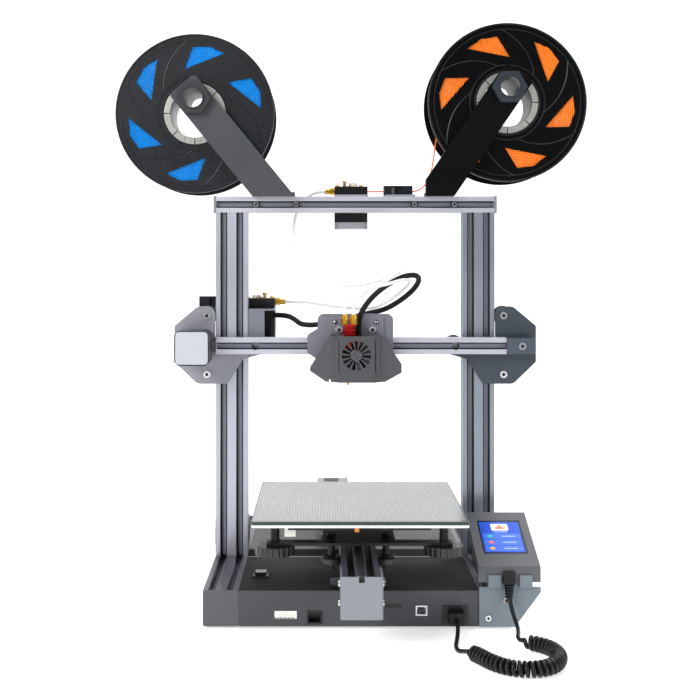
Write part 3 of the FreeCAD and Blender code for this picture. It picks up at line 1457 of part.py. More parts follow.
def inset(points, wall):
    """An outline that runs anticlockwise, moved inwards by a wall."""
    inner = []
    count = len(points)
    flat = [Vector(float(u), float(v), 0) for u, v in points]
    for i in range(count):
        before = (flat[i] - flat[i - 1]).normalize()
        after = (flat[(i + 1) % count] - flat[i]).normalize()
        normals = Vector(-before.y, before.x, 0), Vector(-after.y, after.x, 0)
        mitre = (normals[0] + normals[1]) / (1 + normals[0].dot(normals[1]))
        inner.append((points[i][0] + wall * mitre.x, points[i][1] + wall * mitre.y))
    return inner


shroud_low = S.beam_height - S.shroud_bottom
shroud_high = S.beam_height + S.shroud_top
shroud_face = [
    (-31, shroud_high), (-56, S.beam_height - 24), (-56, S.beam_height - 27.3),
    (-37.2, shroud_low), (34.4, shroud_low), (54.5, S.beam_height - 29.5),
    (54.5, S.beam_height - 19), (31, shroud_high),
]
front_y = S.post_front - S.shroud_front


def shroud_plan(back):
    """The shroud seen from above, as far back as given."""
    return [
        (-21, front_y), (21, front_y), (31, front_y + 10.5), (56.5, front_y + 25), (56.5, back),
        (-56.5, back), (-56.5, front_y + 25), (-31, front_y + 10.5),
    ]


outer_shell = common(
    plate("Y", front_y - 1, bracket_front, shroud_face),
    plate("Z", shroud_low - 1, shroud_high + 1, shroud_plan(bracket_front)),
)
inner_shell = common(
    plate("Y", front_y, bracket_front + 1, inset(shroud_face, S.shroud_wall)),
    plate("Z", shroud_low, shroud_high, inset(shroud_plan(bracket_front + 4), S.shroud_wall)),
)
inner_front = front_y + S.shroud_wall
top_door = block((-28, inner_front + 9, shroud_high - 3), (28, bracket_front + 1, shroud_high + 1))
low_door = block((-33, inner_front + 9, shroud_low - 1), (31, bracket_front + 1, shroud_low + 3))
fan_x, fan_z = -0.6, S.beam_height - S.fan_drop
slot_count, hub_turn, rim_turn = 15, 8.5, 7.6
slots = []
for index in range(slot_count):
    middle = 360 / slot_count * index + 90
    around = [
        (S.fan_hub, hub_turn), (S.fan_hub, -hub_turn),
        (S.fan_radius, -rim_turn), (S.fan_radius, rim_turn),
    ]
    corners = [
        polar(fan_x, fan_z, radius, Size(middle + turn, f"({middle + turn})"))
        for radius, turn in around
    ]
    slots.append(plate("Y", front_y - 1, inner_front + 0.5, corners))
shell = cut(outer_shell, inner_shell, top_door, low_door, *slots)

fan_half, fan_depth, fan_rim = 19.5, 9, 0.2
fan_back = inner_front + fan_depth
fan_bore = S.fan_radius - fan_rim
spider_thick, spider_hub, spider_half = 1.4, 8, 1.2
fan_box = cut(
    block(
        (fan_x - fan_half, inner_front, fan_z - fan_half),
        (fan_x + fan_half, fan_back, fan_z + fan_half),
    ),
    rod("Y", (fan_x, inner_front - 1, fan_z), 11, fan_bore),
)
spider_start = fan_back - spider_thick
spider = [rod("Y", (fan_x, spider_start, fan_z), spider_thick, spider_hub)]
bar_reach = fan_bore + 0.5
for across, up in ((bar_reach, spider_half), (spider_half, bar_reach)):
    spider.append(
        block((fan_x - across, spider_start, fan_z - up), (fan_x + across, fan_back, fan_z + up))
    )
pin_length = 5.2
spider.append(rod("Y", (fan_x, spider_start - pin_length, fan_z), pin_length, 1.5))
fan_frame = fuse(fan_box, *spider)
blower_start, blower_back_gap, blower_low, blower_top = 28.5, 2, 26.5, 8
blowers = [
    block(
        (left, front_y + blower_start, S.beam_height - blower_low),
        (right, bracket_front - blower_back_gap, S.beam_height - blower_top),
    )
    for left, right in ((-43, -32), (33, 44))
]
named("hotend_shroud", group(shell, fan_frame, *blowers))

# Fan rotor: a cup on the pin with seven tilted blades

rotor_end = spider_start - fan_rim
rotor_length, rotor_hub, blade_root, blade_depth, blade_thick = 6.1, 7, 6.5, 6, 1.2
rotor_start = rotor_end - rotor_length
rotor_middle = (rotor_start + rotor_end) / 2
blades = []
for index in range(7):
    turn = Rotation(Vector(0, 1, 0), 360 * index / 7) * Rotation(Vector(1, 0, 0), 35)
    corner = turn.multVec(Vector(blade_root, -blade_depth / 2, -blade_thick / 2))
    blade = doc.addObject("Part::Box", "blade")
    blade.Placement.Rotation = turn
    bind(
        blade, Length=fan_bore - 7.2, Width=Size(blade_depth, f"({blade_depth})"),
        Height=Size(blade_thick, f"({blade_thick})"),
    )
    blades.append(put(blade, fan_x + corner.x, rotor_middle + corner.y, fan_z + corner.z))
hub = cut(
    rod("Y", (fan_x, rotor_start, fan_z), rotor_end - rotor_start, rotor_hub),
    rod("Y", (fan_x, spider_start - pin_length - 0.2, fan_z), pin_length + 1, 1.5 + S.run_gap),
)
rotor = fuse(hub, *blades)
named("hotend_fan", rotor)

# Screen: a slanted box with its window, display and board

slope_cos, slope_sin, slope_tan = cosine(S.screen_tilt), sine(S.screen_tilt), tangent(S.screen_tilt)
lip_top = S.screen_low + S.screen_lip
screen_back = S.screen_front + S.screen_run
screen_right = S.screen_left + S.screen_width
climb = S.screen_run * slope_tan


def on_slope(along, depth):
    """A point of the screen's top face in (Y, Z), up the slope and below the face."""
    return (
        S.screen_front + along * slope_cos + depth * slope_sin,
        lip_top + along * slope_sin - depth * slope_cos,
    )


def slope_slab(left, right, start, end, near, far):
    """A slab that lies along the slope between two depths under the top face."""
    points = [on_slope(start, far), on_slope(end, far), on_slope(end, near), on_slope(start, near)]
    return plate("X", left, right, points)


side_points = [
    (S.screen_front, S.screen_low), (screen_back, S.screen_low + climb),
    (screen_back, lip_top + climb), (S.screen_front, lip_top),
]
case = plate("X", S.screen_left, screen_right, side_points, {2: 3, 3: 3})
hollow = plate(
    "X", S.screen_left + S.screen_wall, screen_right - S.screen_wall, inset(side_points, S.screen_wall)
)
display_left = S.screen_left + (S.screen_width - S.glass_width) / 2
display_right = display_left + S.glass_width
display_end = S.glass_start + S.glass_length
window = slope_slab(display_left, display_right, S.glass_start, display_end, -1, S.screen_wall + 1)
display_glass = slope_slab(display_left, display_right, S.glass_start, display_end, 0.3, S.screen_wall)
module = slope_slab(
    display_left - 4, display_right + 4, S.glass_start - 5, display_end + 5, S.screen_wall,
    S.screen_wall + 5,
)
board_depth = S.screen_wall + 5 + S.board_thick
screen_board = slope_slab(
    display_left - 5, display_right + 5, S.glass_start - 14, display_end + 7, S.screen_wall + 5,
    board_depth,
)
named("screen_housing", group(cut(case, hollow, window), display_glass, module, screen_board))

# Screen bracket: a plate on the base's front, a tray under the screen and two tabs

panel_face = panel_front - S.tray_wall
panel = plate(
    "Y", panel_face, panel_front,
    [
        (rail_in, S.foot_height), (rail_out, S.foot_height), (S.panel_right, S.panel_top - 5.7),
        (S.panel_right, S.panel_top), (rail_in, S.panel_top),
    ],
    {2: 4},
)


def under_screen(y):
    """The height of the screen's underside at a place along Y."""
    return S.screen_low + (y - S.screen_front) * slope_tan


tray_end = screen_back - 6
tray_drop = S.tray_wall / slope_cos
tray = plate(
    "X", S.tray_left, S.tray_right,
    [
        (panel_face, S.panel_top), (panel_front, S.panel_top),
        (panel_front, under_screen(panel_front) - tray_drop),
        (tray_end, under_screen(tray_end) - tray_drop), (tray_end, under_screen(tray_end)),
        (panel_face, under_screen(panel_face)),
    ],
)
tabs = []
for left in (S.tray_left, S.tray_right - S.tab_width):
    right = left + S.tab_width
    tabs.append(block((left, S.tab_front, S.panel_top), (right, panel_front, S.panel_top + S.tray_wall)))
    tab_back = S.tab_front + S.tray_wall
    tabs.append(block((left, S.tab_front, S.panel_top), (right, tab_back, S.tab_top)))
panel_screws = [
    rod("Y", (rail_in + x, panel_face - 2, S.foot_height + z), 2, 3.4) for x, z in ((10, 10), (30, 30))
]
named("screen_bracket", group(fuse(panel, tray, *tabs), *panel_screws))

# Cords: straight runs joined by tangent arcs

CORDS = []


def tube(name, points, radius):
    """A round cord through the points; the bends touch both of their runs."""
    path = [Vector(*(float(number) for number in point)) for point in points]
    edges = []
    bends = []
    start = path[0]
    for before, here, after in zip(path, path[1:], path[2:]):
        back, ahead = before - here, after - here
        turn = math.pi - back.getAngle(ahead)
        short = 0.45 * min(back.Length, ahead.Length)
        bend = short / math.tan(turn / 2)
        bends.append(bend)
        first = here + back.normalize() * short
        last = here + ahead.normalize() * short
        inside = (first + last) / 2 - here
        centre = here + inside.normalize() * (bend / math.cos(turn / 2))
        middle = centre + (here - centre).normalize() * bend
        edges.append(Part.LineSegment(start, first).toShape())
        edges.append(Part.Arc(first, middle, last).toShape())
        start = last
    edges.append(Part.LineSegment(start, path[-1]).toShape())
    route = doc.addObject("Part::Feature", "route")
    route.Shape = Part.Wire(edges)
    section = doc.addObject("Part::Circle", "section")
    bind(section, Radius=radius)
    section.Placement = FreeCAD.Placement(path[0], Rotation(Vector(0, 0, 1), path[1] - path[0]))
    sweep = doc.addObject("Part::Sweep", "cord")
    sweep.Sections = [section]
    sweep.Spine = (route, [f"Edge{number}" for number in range(1, len(edges) + 1)])
    sweep.Solid = True
    sweep.Frenet = False
    CORDS.append((name, sweep, route.Shape.Length, float(radius), min(bends)))
    return sweep


# Screen cord: a curly coil as one fat tube, a lead at each end, a plug and a gland

coil_z = S.coil_radius + 0.05
coil_route = [
    (112.4, -239.6), (120.3, -257.4), (128.9, -274.9), (140.7, -290.3), (157.8, -299.0),
    (177.0, -297.8), (192.3, -286.2), (200.6, -268.7), (202.5, -249.4), (197.3, -230.8),
    (183.8, -217.0), (165.7, -210.2),
]
coil = tube("screen_coil", [(x, y, coil_z) for x, y in coil_route], S.coil_radius)
named("screen_coil", coil)

plug_left, plug_right, plug_low, plug_high = 100, 117, 8, 22
plug_front, gland_front = -156, S.screen_front - 8.5
plug = block((plug_left, plug_front, plug_low), (plug_right, socket_front, plug_high))
gland = block((161, gland_front, S.screen_low - 0.5), (174, S.screen_front, S.screen_low + 12.5))
named("screen_plugs", group(plug, gland))
plug_lead = tube(
    "plug lead",
    [
        (108.3, plug_front, 14), (108.3, -164, 13.4), (107.6, -174, 8.6), (105.6, -185, 4.2),
        (102.9, -199, 2.9), (101.2, -213, 2.7), (102.4, -226, 3.2), (107.6, -236, 5.2),
        (113.4, -244.5, 7.6),
    ],
    S.lead_radius,
)
gland_lead = tube(
    "gland lead",
    [
        (167.5, gland_front + 4, S.screen_low - 0.5), (167.5, gland_front + 4, 44),
        (168.1, -151.4, 34), (169.4, -158.5, 25.5), (170.9, -168.5, 19), (171.6, -181, 15.3),
        (170.7, -194, 13), (167.6, -206, 10.8), (162.9, -215.5, 9.4),
    ],
    S.lead_radius,
)
named("screen_leads", group(plug_lead, gland_lead))

# Feed tubes from the two feeders to the hot end

path_y = feeder_y + S.path_offset
half_feeder = S.motor_side / 2


def lifted(points, level):
    """Points whose heights are given above a level."""
    return [(x, y, level + z) for x, y, z in points]


left_path_z = shelf_top + S.feeder_height / 2 + 1
left_start = S.feeder_left + half_feeder + S.fitting_length
left_tube = tube(
    "left feed tube",
    [
        (left_start, path_y, left_path_z), (-79, path_y, left_path_z),
        *lifted(
            [
                (-64, 76, 13.6), (-45, 66, 13.4), (-20, 48, 12.2), (5, 30, 13.2), (28, 14, 18.2),
                (45, 0, 27.2), (60, -14, 38.2), (54, -26, 41.2), (36, -34, 30.2), (24, -37, 23.5),
                (9.5, -37.5, 17.5), (-3.1, -36.5, 18), (-11, -32.5, 15.5),
                (tube_spots[0], hotend_y, 9), (tube_spots[0], hotend_y, 0),
            ],
            fitting_top,
        ),
    ],
    S.feed_radius,
)
top_path_z = top_shelf + S.feeder_height / 2 + 1
top_start = S.feeder_top - half_feeder - S.fitting_length
top_drop = top_path_z - fitting_top
top_route = [
    # x, y, height above the hot end as a share of the way up to the top feeder
    (-58, 78.5, 0.971), (-69, 74.5, 0.900), (-77, 70, 0.785), (-79, 66, 0.637), (-74, 58, 0.496),
    (-62, 45, 0.361), (-45, 34, 0.277), (-27, 24, 0.233), (-5, 14, 0.220), (18, 6, 0.239),
    (34, -2, 0.297), (45, -14, 0.348), (43, -26, 0.310), (30, -32, 0.226), (14, -33, 0.149),
]
top_tube = tube(
    "top feed tube",
    [
        (top_start, path_y, top_path_z), (-46, path_y, top_path_z),
        *((x, y, fitting_top + top_drop * share) for x, y, share in top_route),
        *lifted(
            [
                (5.5, -31, 19), (-0.6, -30, 12.8),
                (tube_spots[1], hotend_y, 5.8), (tube_spots[1], hotend_y, 0),
            ],
            fitting_top,
        ),
    ],
    S.feed_radius,
)
named("feed_tubes", group(left_tube, top_tube))

# Wiring of the hot end in its woven sleeve

loom_end = left_path_z - 16.6
loom_end_y = path_y - 20.9
loom = tube(
    "wiring loom",
    [
        (loom_x, loom_y, loom_start), (loom_x, loom_y, loom_start + 11.5),
        *lifted(
            [
                (4.5, -19, -1.8), (12, -20, 12.2), (26, -18, 28.2), (46, -16, 42.2), (63, -10, 48.2),
                (74, 0, 46.2), (75, 12, 38.2), (66, 22, 28.2), (52.5, 27, 16.2), (36, 28, 6.7),
                (17, 28, 1.2), (-5, 27.5, -5.8), (-26, 28, -10.8), (-49, 30, -15.8), (-68, 38, -15.8),
                (-76, 50, -9.8),
            ],
            fitting_top,
        ),
        (-87, loom_end_y, loom_end), (shelf_right, loom_end_y, loom_end),
    ],
    S.loom_radius,
)
named("wiring_loom", loom)

# Filament between the top feeder, its sensor and the right spool

guide_right = S.feeder_top - half_feeder + 8.5
sensor_left = S.sensor_reach - S.sensor_length / 2
sensor_right = S.sensor_reach + S.sensor_length / 2
strand_in = tube(
    "strand before the feeder",
    [(guide_right, path_y, top_path_z), (12, path_y, top_path_z - 0.25), (sensor_left, path_y, top_path_z)],
    S.strand_radius,
)
wound_x = right_axis[0] - S.wound_radius - S.strand_radius - 0.05
wound_z = right_axis[1] - hang
strand_out = tube(
    "strand from the spool",
    [
        (sensor_right, path_y, top_path_z), (82, path_y, top_path_z + 0.8), (90, path_y, 508.6),
        (97, path_y, 519), (102, path_y, 534), (104.6, path_y, 554), (wound_x - 0.4, path_y, 580),
        (wound_x, path_y, wound_z),
    ],
    S.strand_radius,
)
named("filament_strand", group(strand_in, strand_out))

# Build, test and write the sub-parts

doc.recompute()
faults = []
for piece in doc.Objects:
    if not piece.TypeId.startswith(("Part::", "PartDesign::", "Sketcher::", "Spreadsheet::")):
        continue
    words = " ".join(piece.State)
    if "Invalid" in words or "Error" in words:
        faults.append(f"{piece.Name} ({piece.Label}): {words}")
    elif hasattr(piece, "Shape") and (piece.Shape.isNull() or not piece.Shape.isValid()):
        faults.append(f"{piece.Name} ({piece.Label}): null or invalid shape")
if faults:
    raise RuntimeError("; ".join(faults))
for piece in NODES:
    shape = piece.Shape
    shape.exportStep(f"parts/{piece.Label}.step")
    box = shape.BoundBox
    low = f"{box.XMin:.1f} {box.YMin:.1f} {box.ZMin:.1f}"
    high = f"{box.XMax:.1f} {box.YMax:.1f} {box.ZMax:.1f}"
    print(f"{piece.Label}: {len(shape.Solids)} solids, {shape.Volume / 1000:.1f} cm3, {low} to {high}")
for name, cord, length, radius, bend in CORDS:
    expected = math.pi * radius**2 * length
    share = cord.Shape.Volume / expected
    print(f"{name}: {length:.0f} mm long, smallest bend {bend:.1f}, volume {share:.3f} of section x length")
print(f"{len(NODES)} sub-parts")
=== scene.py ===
"""A desktop filament printer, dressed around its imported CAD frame. Places are in metres."""

import json

import bmesh
import bpy
import numpy as np
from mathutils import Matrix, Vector

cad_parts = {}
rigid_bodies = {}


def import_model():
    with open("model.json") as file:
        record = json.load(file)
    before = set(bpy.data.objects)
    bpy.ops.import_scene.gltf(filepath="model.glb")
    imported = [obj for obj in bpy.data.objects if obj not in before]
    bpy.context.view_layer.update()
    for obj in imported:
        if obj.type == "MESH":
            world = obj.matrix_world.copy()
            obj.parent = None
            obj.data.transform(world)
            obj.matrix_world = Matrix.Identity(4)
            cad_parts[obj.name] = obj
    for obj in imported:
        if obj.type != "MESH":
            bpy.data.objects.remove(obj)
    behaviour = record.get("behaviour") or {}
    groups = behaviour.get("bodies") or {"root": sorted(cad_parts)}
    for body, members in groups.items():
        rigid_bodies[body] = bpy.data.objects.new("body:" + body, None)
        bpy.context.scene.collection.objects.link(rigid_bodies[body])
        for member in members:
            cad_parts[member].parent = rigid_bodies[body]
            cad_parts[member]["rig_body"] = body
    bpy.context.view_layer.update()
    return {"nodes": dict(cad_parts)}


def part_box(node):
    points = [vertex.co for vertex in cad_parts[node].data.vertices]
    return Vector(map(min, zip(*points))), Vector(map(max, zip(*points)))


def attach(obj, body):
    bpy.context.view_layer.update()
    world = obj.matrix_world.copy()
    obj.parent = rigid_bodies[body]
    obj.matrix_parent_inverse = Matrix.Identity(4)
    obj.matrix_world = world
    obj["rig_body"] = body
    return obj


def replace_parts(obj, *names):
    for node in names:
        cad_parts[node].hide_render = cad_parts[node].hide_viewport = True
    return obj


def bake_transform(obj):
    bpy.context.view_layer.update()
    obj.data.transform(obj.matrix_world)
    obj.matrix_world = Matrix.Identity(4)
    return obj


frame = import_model()
mm = 0.001

# Studio: a sweep of white seamless paper, a large soft box at the left front, weaker ones
# at the right, above and behind, and a long lens level with the space over the gantry.


def linear(code):
    """sRGB hex to linear: ((c + 0.055) / 1.055) ** 2.4, or c / 12.92 for the darkest values."""
    c = np.array([int(code[i : i + 2], 16) for i in (1, 3, 5)]) / 255
    value = np.where(c <= 0.04045, c / 12.92, ((c + 0.055) / 1.055) ** 2.4)
    return (*(float(x) for x in value), 1.0)


def add(tree, kind, inputs=None, **settings):
    """Adds a shader node with its settings. An input is a value, a socket or a node's first output."""
    node = tree.nodes.new("ShaderNode" + kind)
    for name, value in settings.items():
        setattr(node, name, value)
    for key, value in (inputs or {}).items():
        value = value.outputs[0] if isinstance(value, bpy.types.Node) else value
        if isinstance(value, bpy.types.NodeSocket):
            tree.links.new(value, node.inputs[key])
        else:
            node.inputs[key].default_value = value
    return node


def grid(points, around=False, looped=False, caps=False):
    """A mesh through points[i, j]. It may close around j, loop along i, or be capped at both ends of i.

    Each face joins (i, j), (i, j + 1), (i + 1, j + 1) and (i + 1, j), and the UV map "grid" holds (i, j).
    """
    rows, columns = points.shape[:2]
    number = np.arange(rows * columns).reshape(rows, columns)
    low, high = number, np.roll(number, -1, 0)
    if not looped:
        low, high = low[:-1], high[:-1]
    corners = [low, np.roll(low, -1, 1), np.roll(high, -1, 1), high]
    if not around:
        corners = [corner[:, :-1] for corner in corners]
    faces = np.stack(corners, -1).reshape(-1, 4)
    bands = faces.shape[0] // low.shape[0]
    i = np.repeat(np.arange(low.shape[0]), bands)[:, None] + [0, 0, 1, 1]
    j = np.tile(np.arange(bands), low.shape[0])[:, None] + [0, 1, 1, 0]
    uv = np.stack([i, j], -1).reshape(-1, 2)
    ends = [number[0, ::-1].tolist(), number[-1].tolist()] if caps else []
    mesh = bpy.data.meshes.new("surface")
    mesh.from_pydata(points.reshape(-1, 3).tolist(), [], faces.tolist() + ends)
    uv = np.concatenate([uv, np.zeros((sum(map(len, ends)), 2))])
    mesh.uv_layers.new(name="grid").data.foreach_set("uv", uv.astype(np.float32).ravel())
    return mesh


def tune(material, values):
    """Sets constants on the sockets of a material's shader."""
    for socket, value in values.items():
        material.node_tree.nodes["Principled BSDF"].inputs[socket].default_value = value


# Uncoated white paper, rolled: matt, and lit a little from within so that it stays white.
paper = bpy.data.materials.new("white seamless paper")
paper.use_nodes = True
tune(paper, {"Base Color": linear("#f4f4f4"), "Roughness": 0.9})
tune(paper, {"Emission Color": linear("#ffffff"), "Emission Strength": 0.55})
turn = np.linspace(0, np.pi / 2, 17)
depth = np.concatenate([[-4], 2.2 + 1.5 * np.sin(turn), [3.7]])
height = np.concatenate([[0], 1.5 - 1.5 * np.cos(turn), [7]])
across = np.linspace(-6, 6, 3)
sweep = np.stack(np.broadcast_arrays(across, depth[:, None], height[:, None]), -1)
floor = bpy.data.objects.new("paper_sweep", grid(sweep))
bpy.context.scene.collection.objects.link(floor)
floor.data.materials.append(paper)
floor.data.polygons.foreach_set("use_smooth", [True] * len(floor.data.polygons))

bpy.context.scene.view_settings.view_transform = "Standard"
world = bpy.data.worlds.new("pale room")
bpy.context.scene.world = world
world.use_nodes = True
world.node_tree.nodes["Background"].inputs[0].default_value = linear("#f6f7fb")
world.node_tree.nodes["Background"].inputs[1].default_value = 0.3
lamps_aim = Vector((0, 0, 0.33))
for name, spot, size, power in (
    ("key_box", (-1.6, -1.9, 1.5), 1.1, 56),
    ("fill_box", (1.9, -1.7, 0.8), 1.3, 17),
    ("top_box", (0.0, -0.1, 2.2), 1.5, 20),
    ("rim_box", (1.3, 1.5, 1.4), 1.0, 24),
):
    lamp = bpy.data.objects.new(name, bpy.data.lights.new(name, "AREA"))
    lamp.data.size = size
    lamp.data.energy = power
    lamp.location = spot
    lamp.rotation_euler = (lamps_aim - lamp.location).to_track_quat("-Z", "Y").to_euler()
    bpy.context.scene.collection.objects.link(lamp)

camera = bpy.data.objects.new("camera", bpy.data.cameras.new("camera"))
camera.location = (-37.2 * mm, -1487.4 * mm, 412.3 * mm)
camera.rotation_euler = (np.pi / 2, 0, 0)
camera.data.lens = 61.8
camera.data.sensor_width = 36
camera.data.shift_x = 0.0349
camera.data.shift_y = -0.1264
camera.data.clip_end = 30
bpy.context.scene.collection.objects.link(camera)
bpy.context.scene.camera = camera

# Screen cord: soft black PVC over thin leads, wound hot in a tight curl that springs back. It is
# clamped in a gland under the housing, and its other end is a plug in the base's front panel.


def route_points(route, step):
    """Points a step apart on the smooth spline that has the route's points, in mm, as control points."""
    curve = bpy.data.curves.new("route", "CURVE")
    curve.dimensions = "3D"
    curve.resolution_u = 24
    spline = curve.splines.new("NURBS")
    spline.points.add(len(route) - 1)
    spline.points.foreach_set("co", np.c_[np.array(route) * mm, np.ones(len(route))].ravel())
    spline.order_u = 3
    spline.use_endpoint_u = True
    holder = bpy.data.objects.new("route", curve)
    line = bpy.data.meshes.new_from_object(holder)
    found = np.zeros(3 * len(line.vertices))
    line.vertices.foreach_get("co", found)
    found = found.reshape(-1, 3)
    gone = np.r_[0, np.cumsum(np.linalg.norm(np.diff(found, axis=0), axis=1))]
    even = np.linspace(0, gone[-1], int(gone[-1] / step) + 1)
    bpy.data.objects.remove(holder)
    bpy.data.meshes.remove(line)
    return np.stack([np.interp(even, gone, found[:, k]) for k in range(3)], -1)


def frames(points):
    """Unit tangents, and two unit normals that turn as little as they can from point to point."""
    ahead = np.gradient(points, axis=0)
    ahead /= np.linalg.norm(ahead, axis=1, keepdims=True)
    side = np.empty_like(points)
    side[0] = np.cross(ahead[0], (0.3, 0.5, 0.81))
    for here in range(len(points)):
        last = side[max(here - 1, 0)]
        side[here] = last - ahead[here] * (last @ ahead[here])
        side[here] /= np.linalg.norm(side[here])
    return ahead, side, np.cross(ahead, side)


def finish(
    name, colour, metal, rough, grain, relief, tone=0.06, stretch=(1, 1, 1), edge=0.4, shine=0.5, fitted=()
):
    """A surface with its own grain: its size and relief in mm, tone the spread of its lightness.

    Stretch multiplies the grain's frequency on each axis. Edge is the radius in mm that corners are
    broken to, shine the strength of its clear reflection. Fitted names boxes in mm with the colour,
    metallic and roughness of what is in them.
    """
    material = bpy.data.materials.new(name)
    material.use_nodes = True
    tree = material.node_tree
    place = add(tree, "TexCoord").outputs["Object"]
    drawn = add(tree, "Mapping", {0: place, 3: stretch})
    # Two noises, the grain and clouds 14 to the metre, whose sum is mostly between dark and light.
    fine = add(tree, "TexNoise", {0: drawn, "Scale": 1 / (grain * mm), "Detail": 3.0})
    cloud = add(tree, "TexNoise", {0: place, "Scale": 14.0, "Detail": 2.0})
    mixed = add(tree, "Math", {0: fine, 1: cloud}, operation="ADD")
    dark, light = 0.7, 1.3
    shade = add(tree, "MapRange", {0: mixed, 1: dark, 2: light, 3: 1 - tone, 4: 1 + tone})
    spread = add(tree, "MapRange", {0: mixed, 1: dark, 2: light, 3: 0.85, 4: 1.15})
    hue, metallic, smear = linear(colour), metal, rough
    for low, high, code, metal_in, rough_in in fitted:
        middle = [(a + b) / 2 * mm for a, b in zip(low, high)]
        half = [(b - a) / 2 * mm for a, b in zip(low, high)]
        away = add(tree, "VectorMath", {0: place, 1: middle}, operation="SUBTRACT")
        away = add(tree, "VectorMath", {0: away}, operation="ABSOLUTE")
        away = add(tree, "VectorMath", {0: away, 1: half}, operation="SUBTRACT")
        x, y, z = add(tree, "SeparateXYZ", {0: away}).outputs
        most = add(tree, "Math", {0: x, 1: y}, operation="MAXIMUM")
        most = add(tree, "Math", {0: most, 1: z}, operation="MAXIMUM")
        inside = add(tree, "Math", {0: most, 1: 0.0}, operation="LESS_THAN")
        hue = add(tree, "Mix", {0: inside, 6: hue, 7: linear(code)}, data_type="RGBA").outputs[2]
        metallic = add(tree, "Mix", {0: inside, 2: metallic, 3: metal_in})
        smear = add(tree, "Mix", {0: inside, 2: smear, 3: rough_in})
    toned = add(tree, "VectorMath", {0: hue if fitted else hue[:3], 3: shade}, operation="SCALE")
    rubbed = add(tree, "Math", {0: spread, 1: smear}, operation="MULTIPLY")
    worn = add(tree, "Bevel", {"Radius": edge * mm}, samples=3)
    bump = add(tree, "Bump", {"Height": fine, "Distance": relief * mm, "Normal": worn})
    driven = {"Base Color": toned, "Roughness": rubbed, "Normal": bump}
    if fitted:
        driven["Metallic"] = metallic
    else:
        tune(material, {"Metallic": metal})
    for socket, node in driven.items():
        tree.links.new(node.outputs[0], tree.nodes["Principled BSDF"].inputs[socket])
    tune(material, {"Specular IOR Level": shine})
    return material


def piece(name, data, body, material, smooth=True):
    """An object that rides on a body, made of a mesh or curve, with its material."""
    data.name = name
    made = bpy.data.objects.new(name, data)
    bpy.context.scene.collection.objects.link(made)
    data.materials.append(material)
    if isinstance(data, bpy.types.Mesh):
        shell = bmesh.new()
        shell.from_mesh(data)
        bmesh.ops.recalc_face_normals(shell, faces=shell.faces)
        shell.to_mesh(data)
        shell.free()
        data.polygons.foreach_set("use_smooth", [smooth] * len(data.polygons))
        if smooth:
            data.set_sharp_from_angle(angle=0.6)
    if body:
        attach(made, body)
    return made


cord_route = [
    (167.5, -148, 53), (167.5, -148, 44), (168.1, -151.4, 34), (169.4, -158.5, 25.5),
    (170.9, -168.5, 19), (171.6, -181, 15.3), (170.7, -194, 13), (167.8, -205, 10.6),
    (171.5, -212.5, 9), (183.8, -217.0, 8.8), (197.3, -230.8, 8.8), (202.5, -249.4, 8.8),
    (200.6, -268.7, 8.8), (192.3, -286.2, 8.8), (177.0, -297.8, 8.8), (157.8, -299.0, 8.8),
    (140.7, -290.3, 8.8), (128.9, -274.9, 8.8), (120.3, -257.4, 8.8), (113.4, -244.5, 8.6),
    (107.6, -236, 6.4), (102.4, -226, 3.2), (101.2, -213, 2.7), (102.9, -199, 2.9),
    (105.6, -185, 4.2), (107.6, -174, 8.6), (108.3, -164, 13.4), (108.3, -156, 14),
]
cord_thick, cord_step, curl, turns = 4.8 * mm, 0.44 * mm, 6.35 * mm, 34
curl_start, curl_end, easing = 84 * mm, 293 * mm, 14 * mm
# The curl's radius swells and shrinks smoothly at both ends, and its turns go as fast as it is wide.
middle = route_points(cord_route, cord_step)
gone = cord_step * np.arange(len(middle))
swell = np.clip(np.minimum(gone - curl_start, curl_end - gone) / easing, 0, 1)
swell = swell * swell * (3 - 2 * swell)
_, side, over = frames(middle)
angle = 2 * np.pi * turns * np.cumsum(swell) / swell.sum()
spiral = middle + (curl * swell)[:, None] * (
    np.cos(angle)[:, None] * side + np.sin(angle)[:, None] * over
)
curly = bpy.data.curves.new("screen_cord", "CURVE")
curly.dimensions = "3D"
curly.bevel_depth = cord_thick / 2
curly.bevel_resolution = 2
curly.resolution_u = 2
curly.use_fill_caps = True
strand = curly.splines.new("NURBS")
strand.points.add(len(spiral) - 1)
strand.points.foreach_set("co", np.c_[spiral, np.ones(len(spiral))].ravel())
strand.order_u = 3
strand.use_endpoint_u = True
# Soft black PVC, calendered: a low sheen with faint drawn marks and a little dust.
cord_black = finish("soft black PVC", "#0c0c0e", 0, 0.42, 1.5, 0.03, tone=0.1, shine=0.3)
screen_cord = piece("screen_cord", curly, "frame", cord_black)
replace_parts(screen_cord, "screen_coil", "screen_leads")

# Feed tubes: 4 mm PTFE tube, bright and slightly clear, that leads the filament from each feeder's
# fitting to the hot end's. It is springy, so it rises in a wide arc and bends as the hot end moves.


def pipe(points, radius, around=16):
    """A round tube along points: point + radius * (cos(angle) * side + sin(angle) * over)."""
    _, side, over = frames(points)
    angle = np.linspace(0, 2 * np.pi, around, endpoint=False)[:, None]
    ring = np.cos(angle) * side[:, None] + np.sin(angle) * over[:, None]
    return grid(points[:, None] + radius * ring, around=True, caps=True)


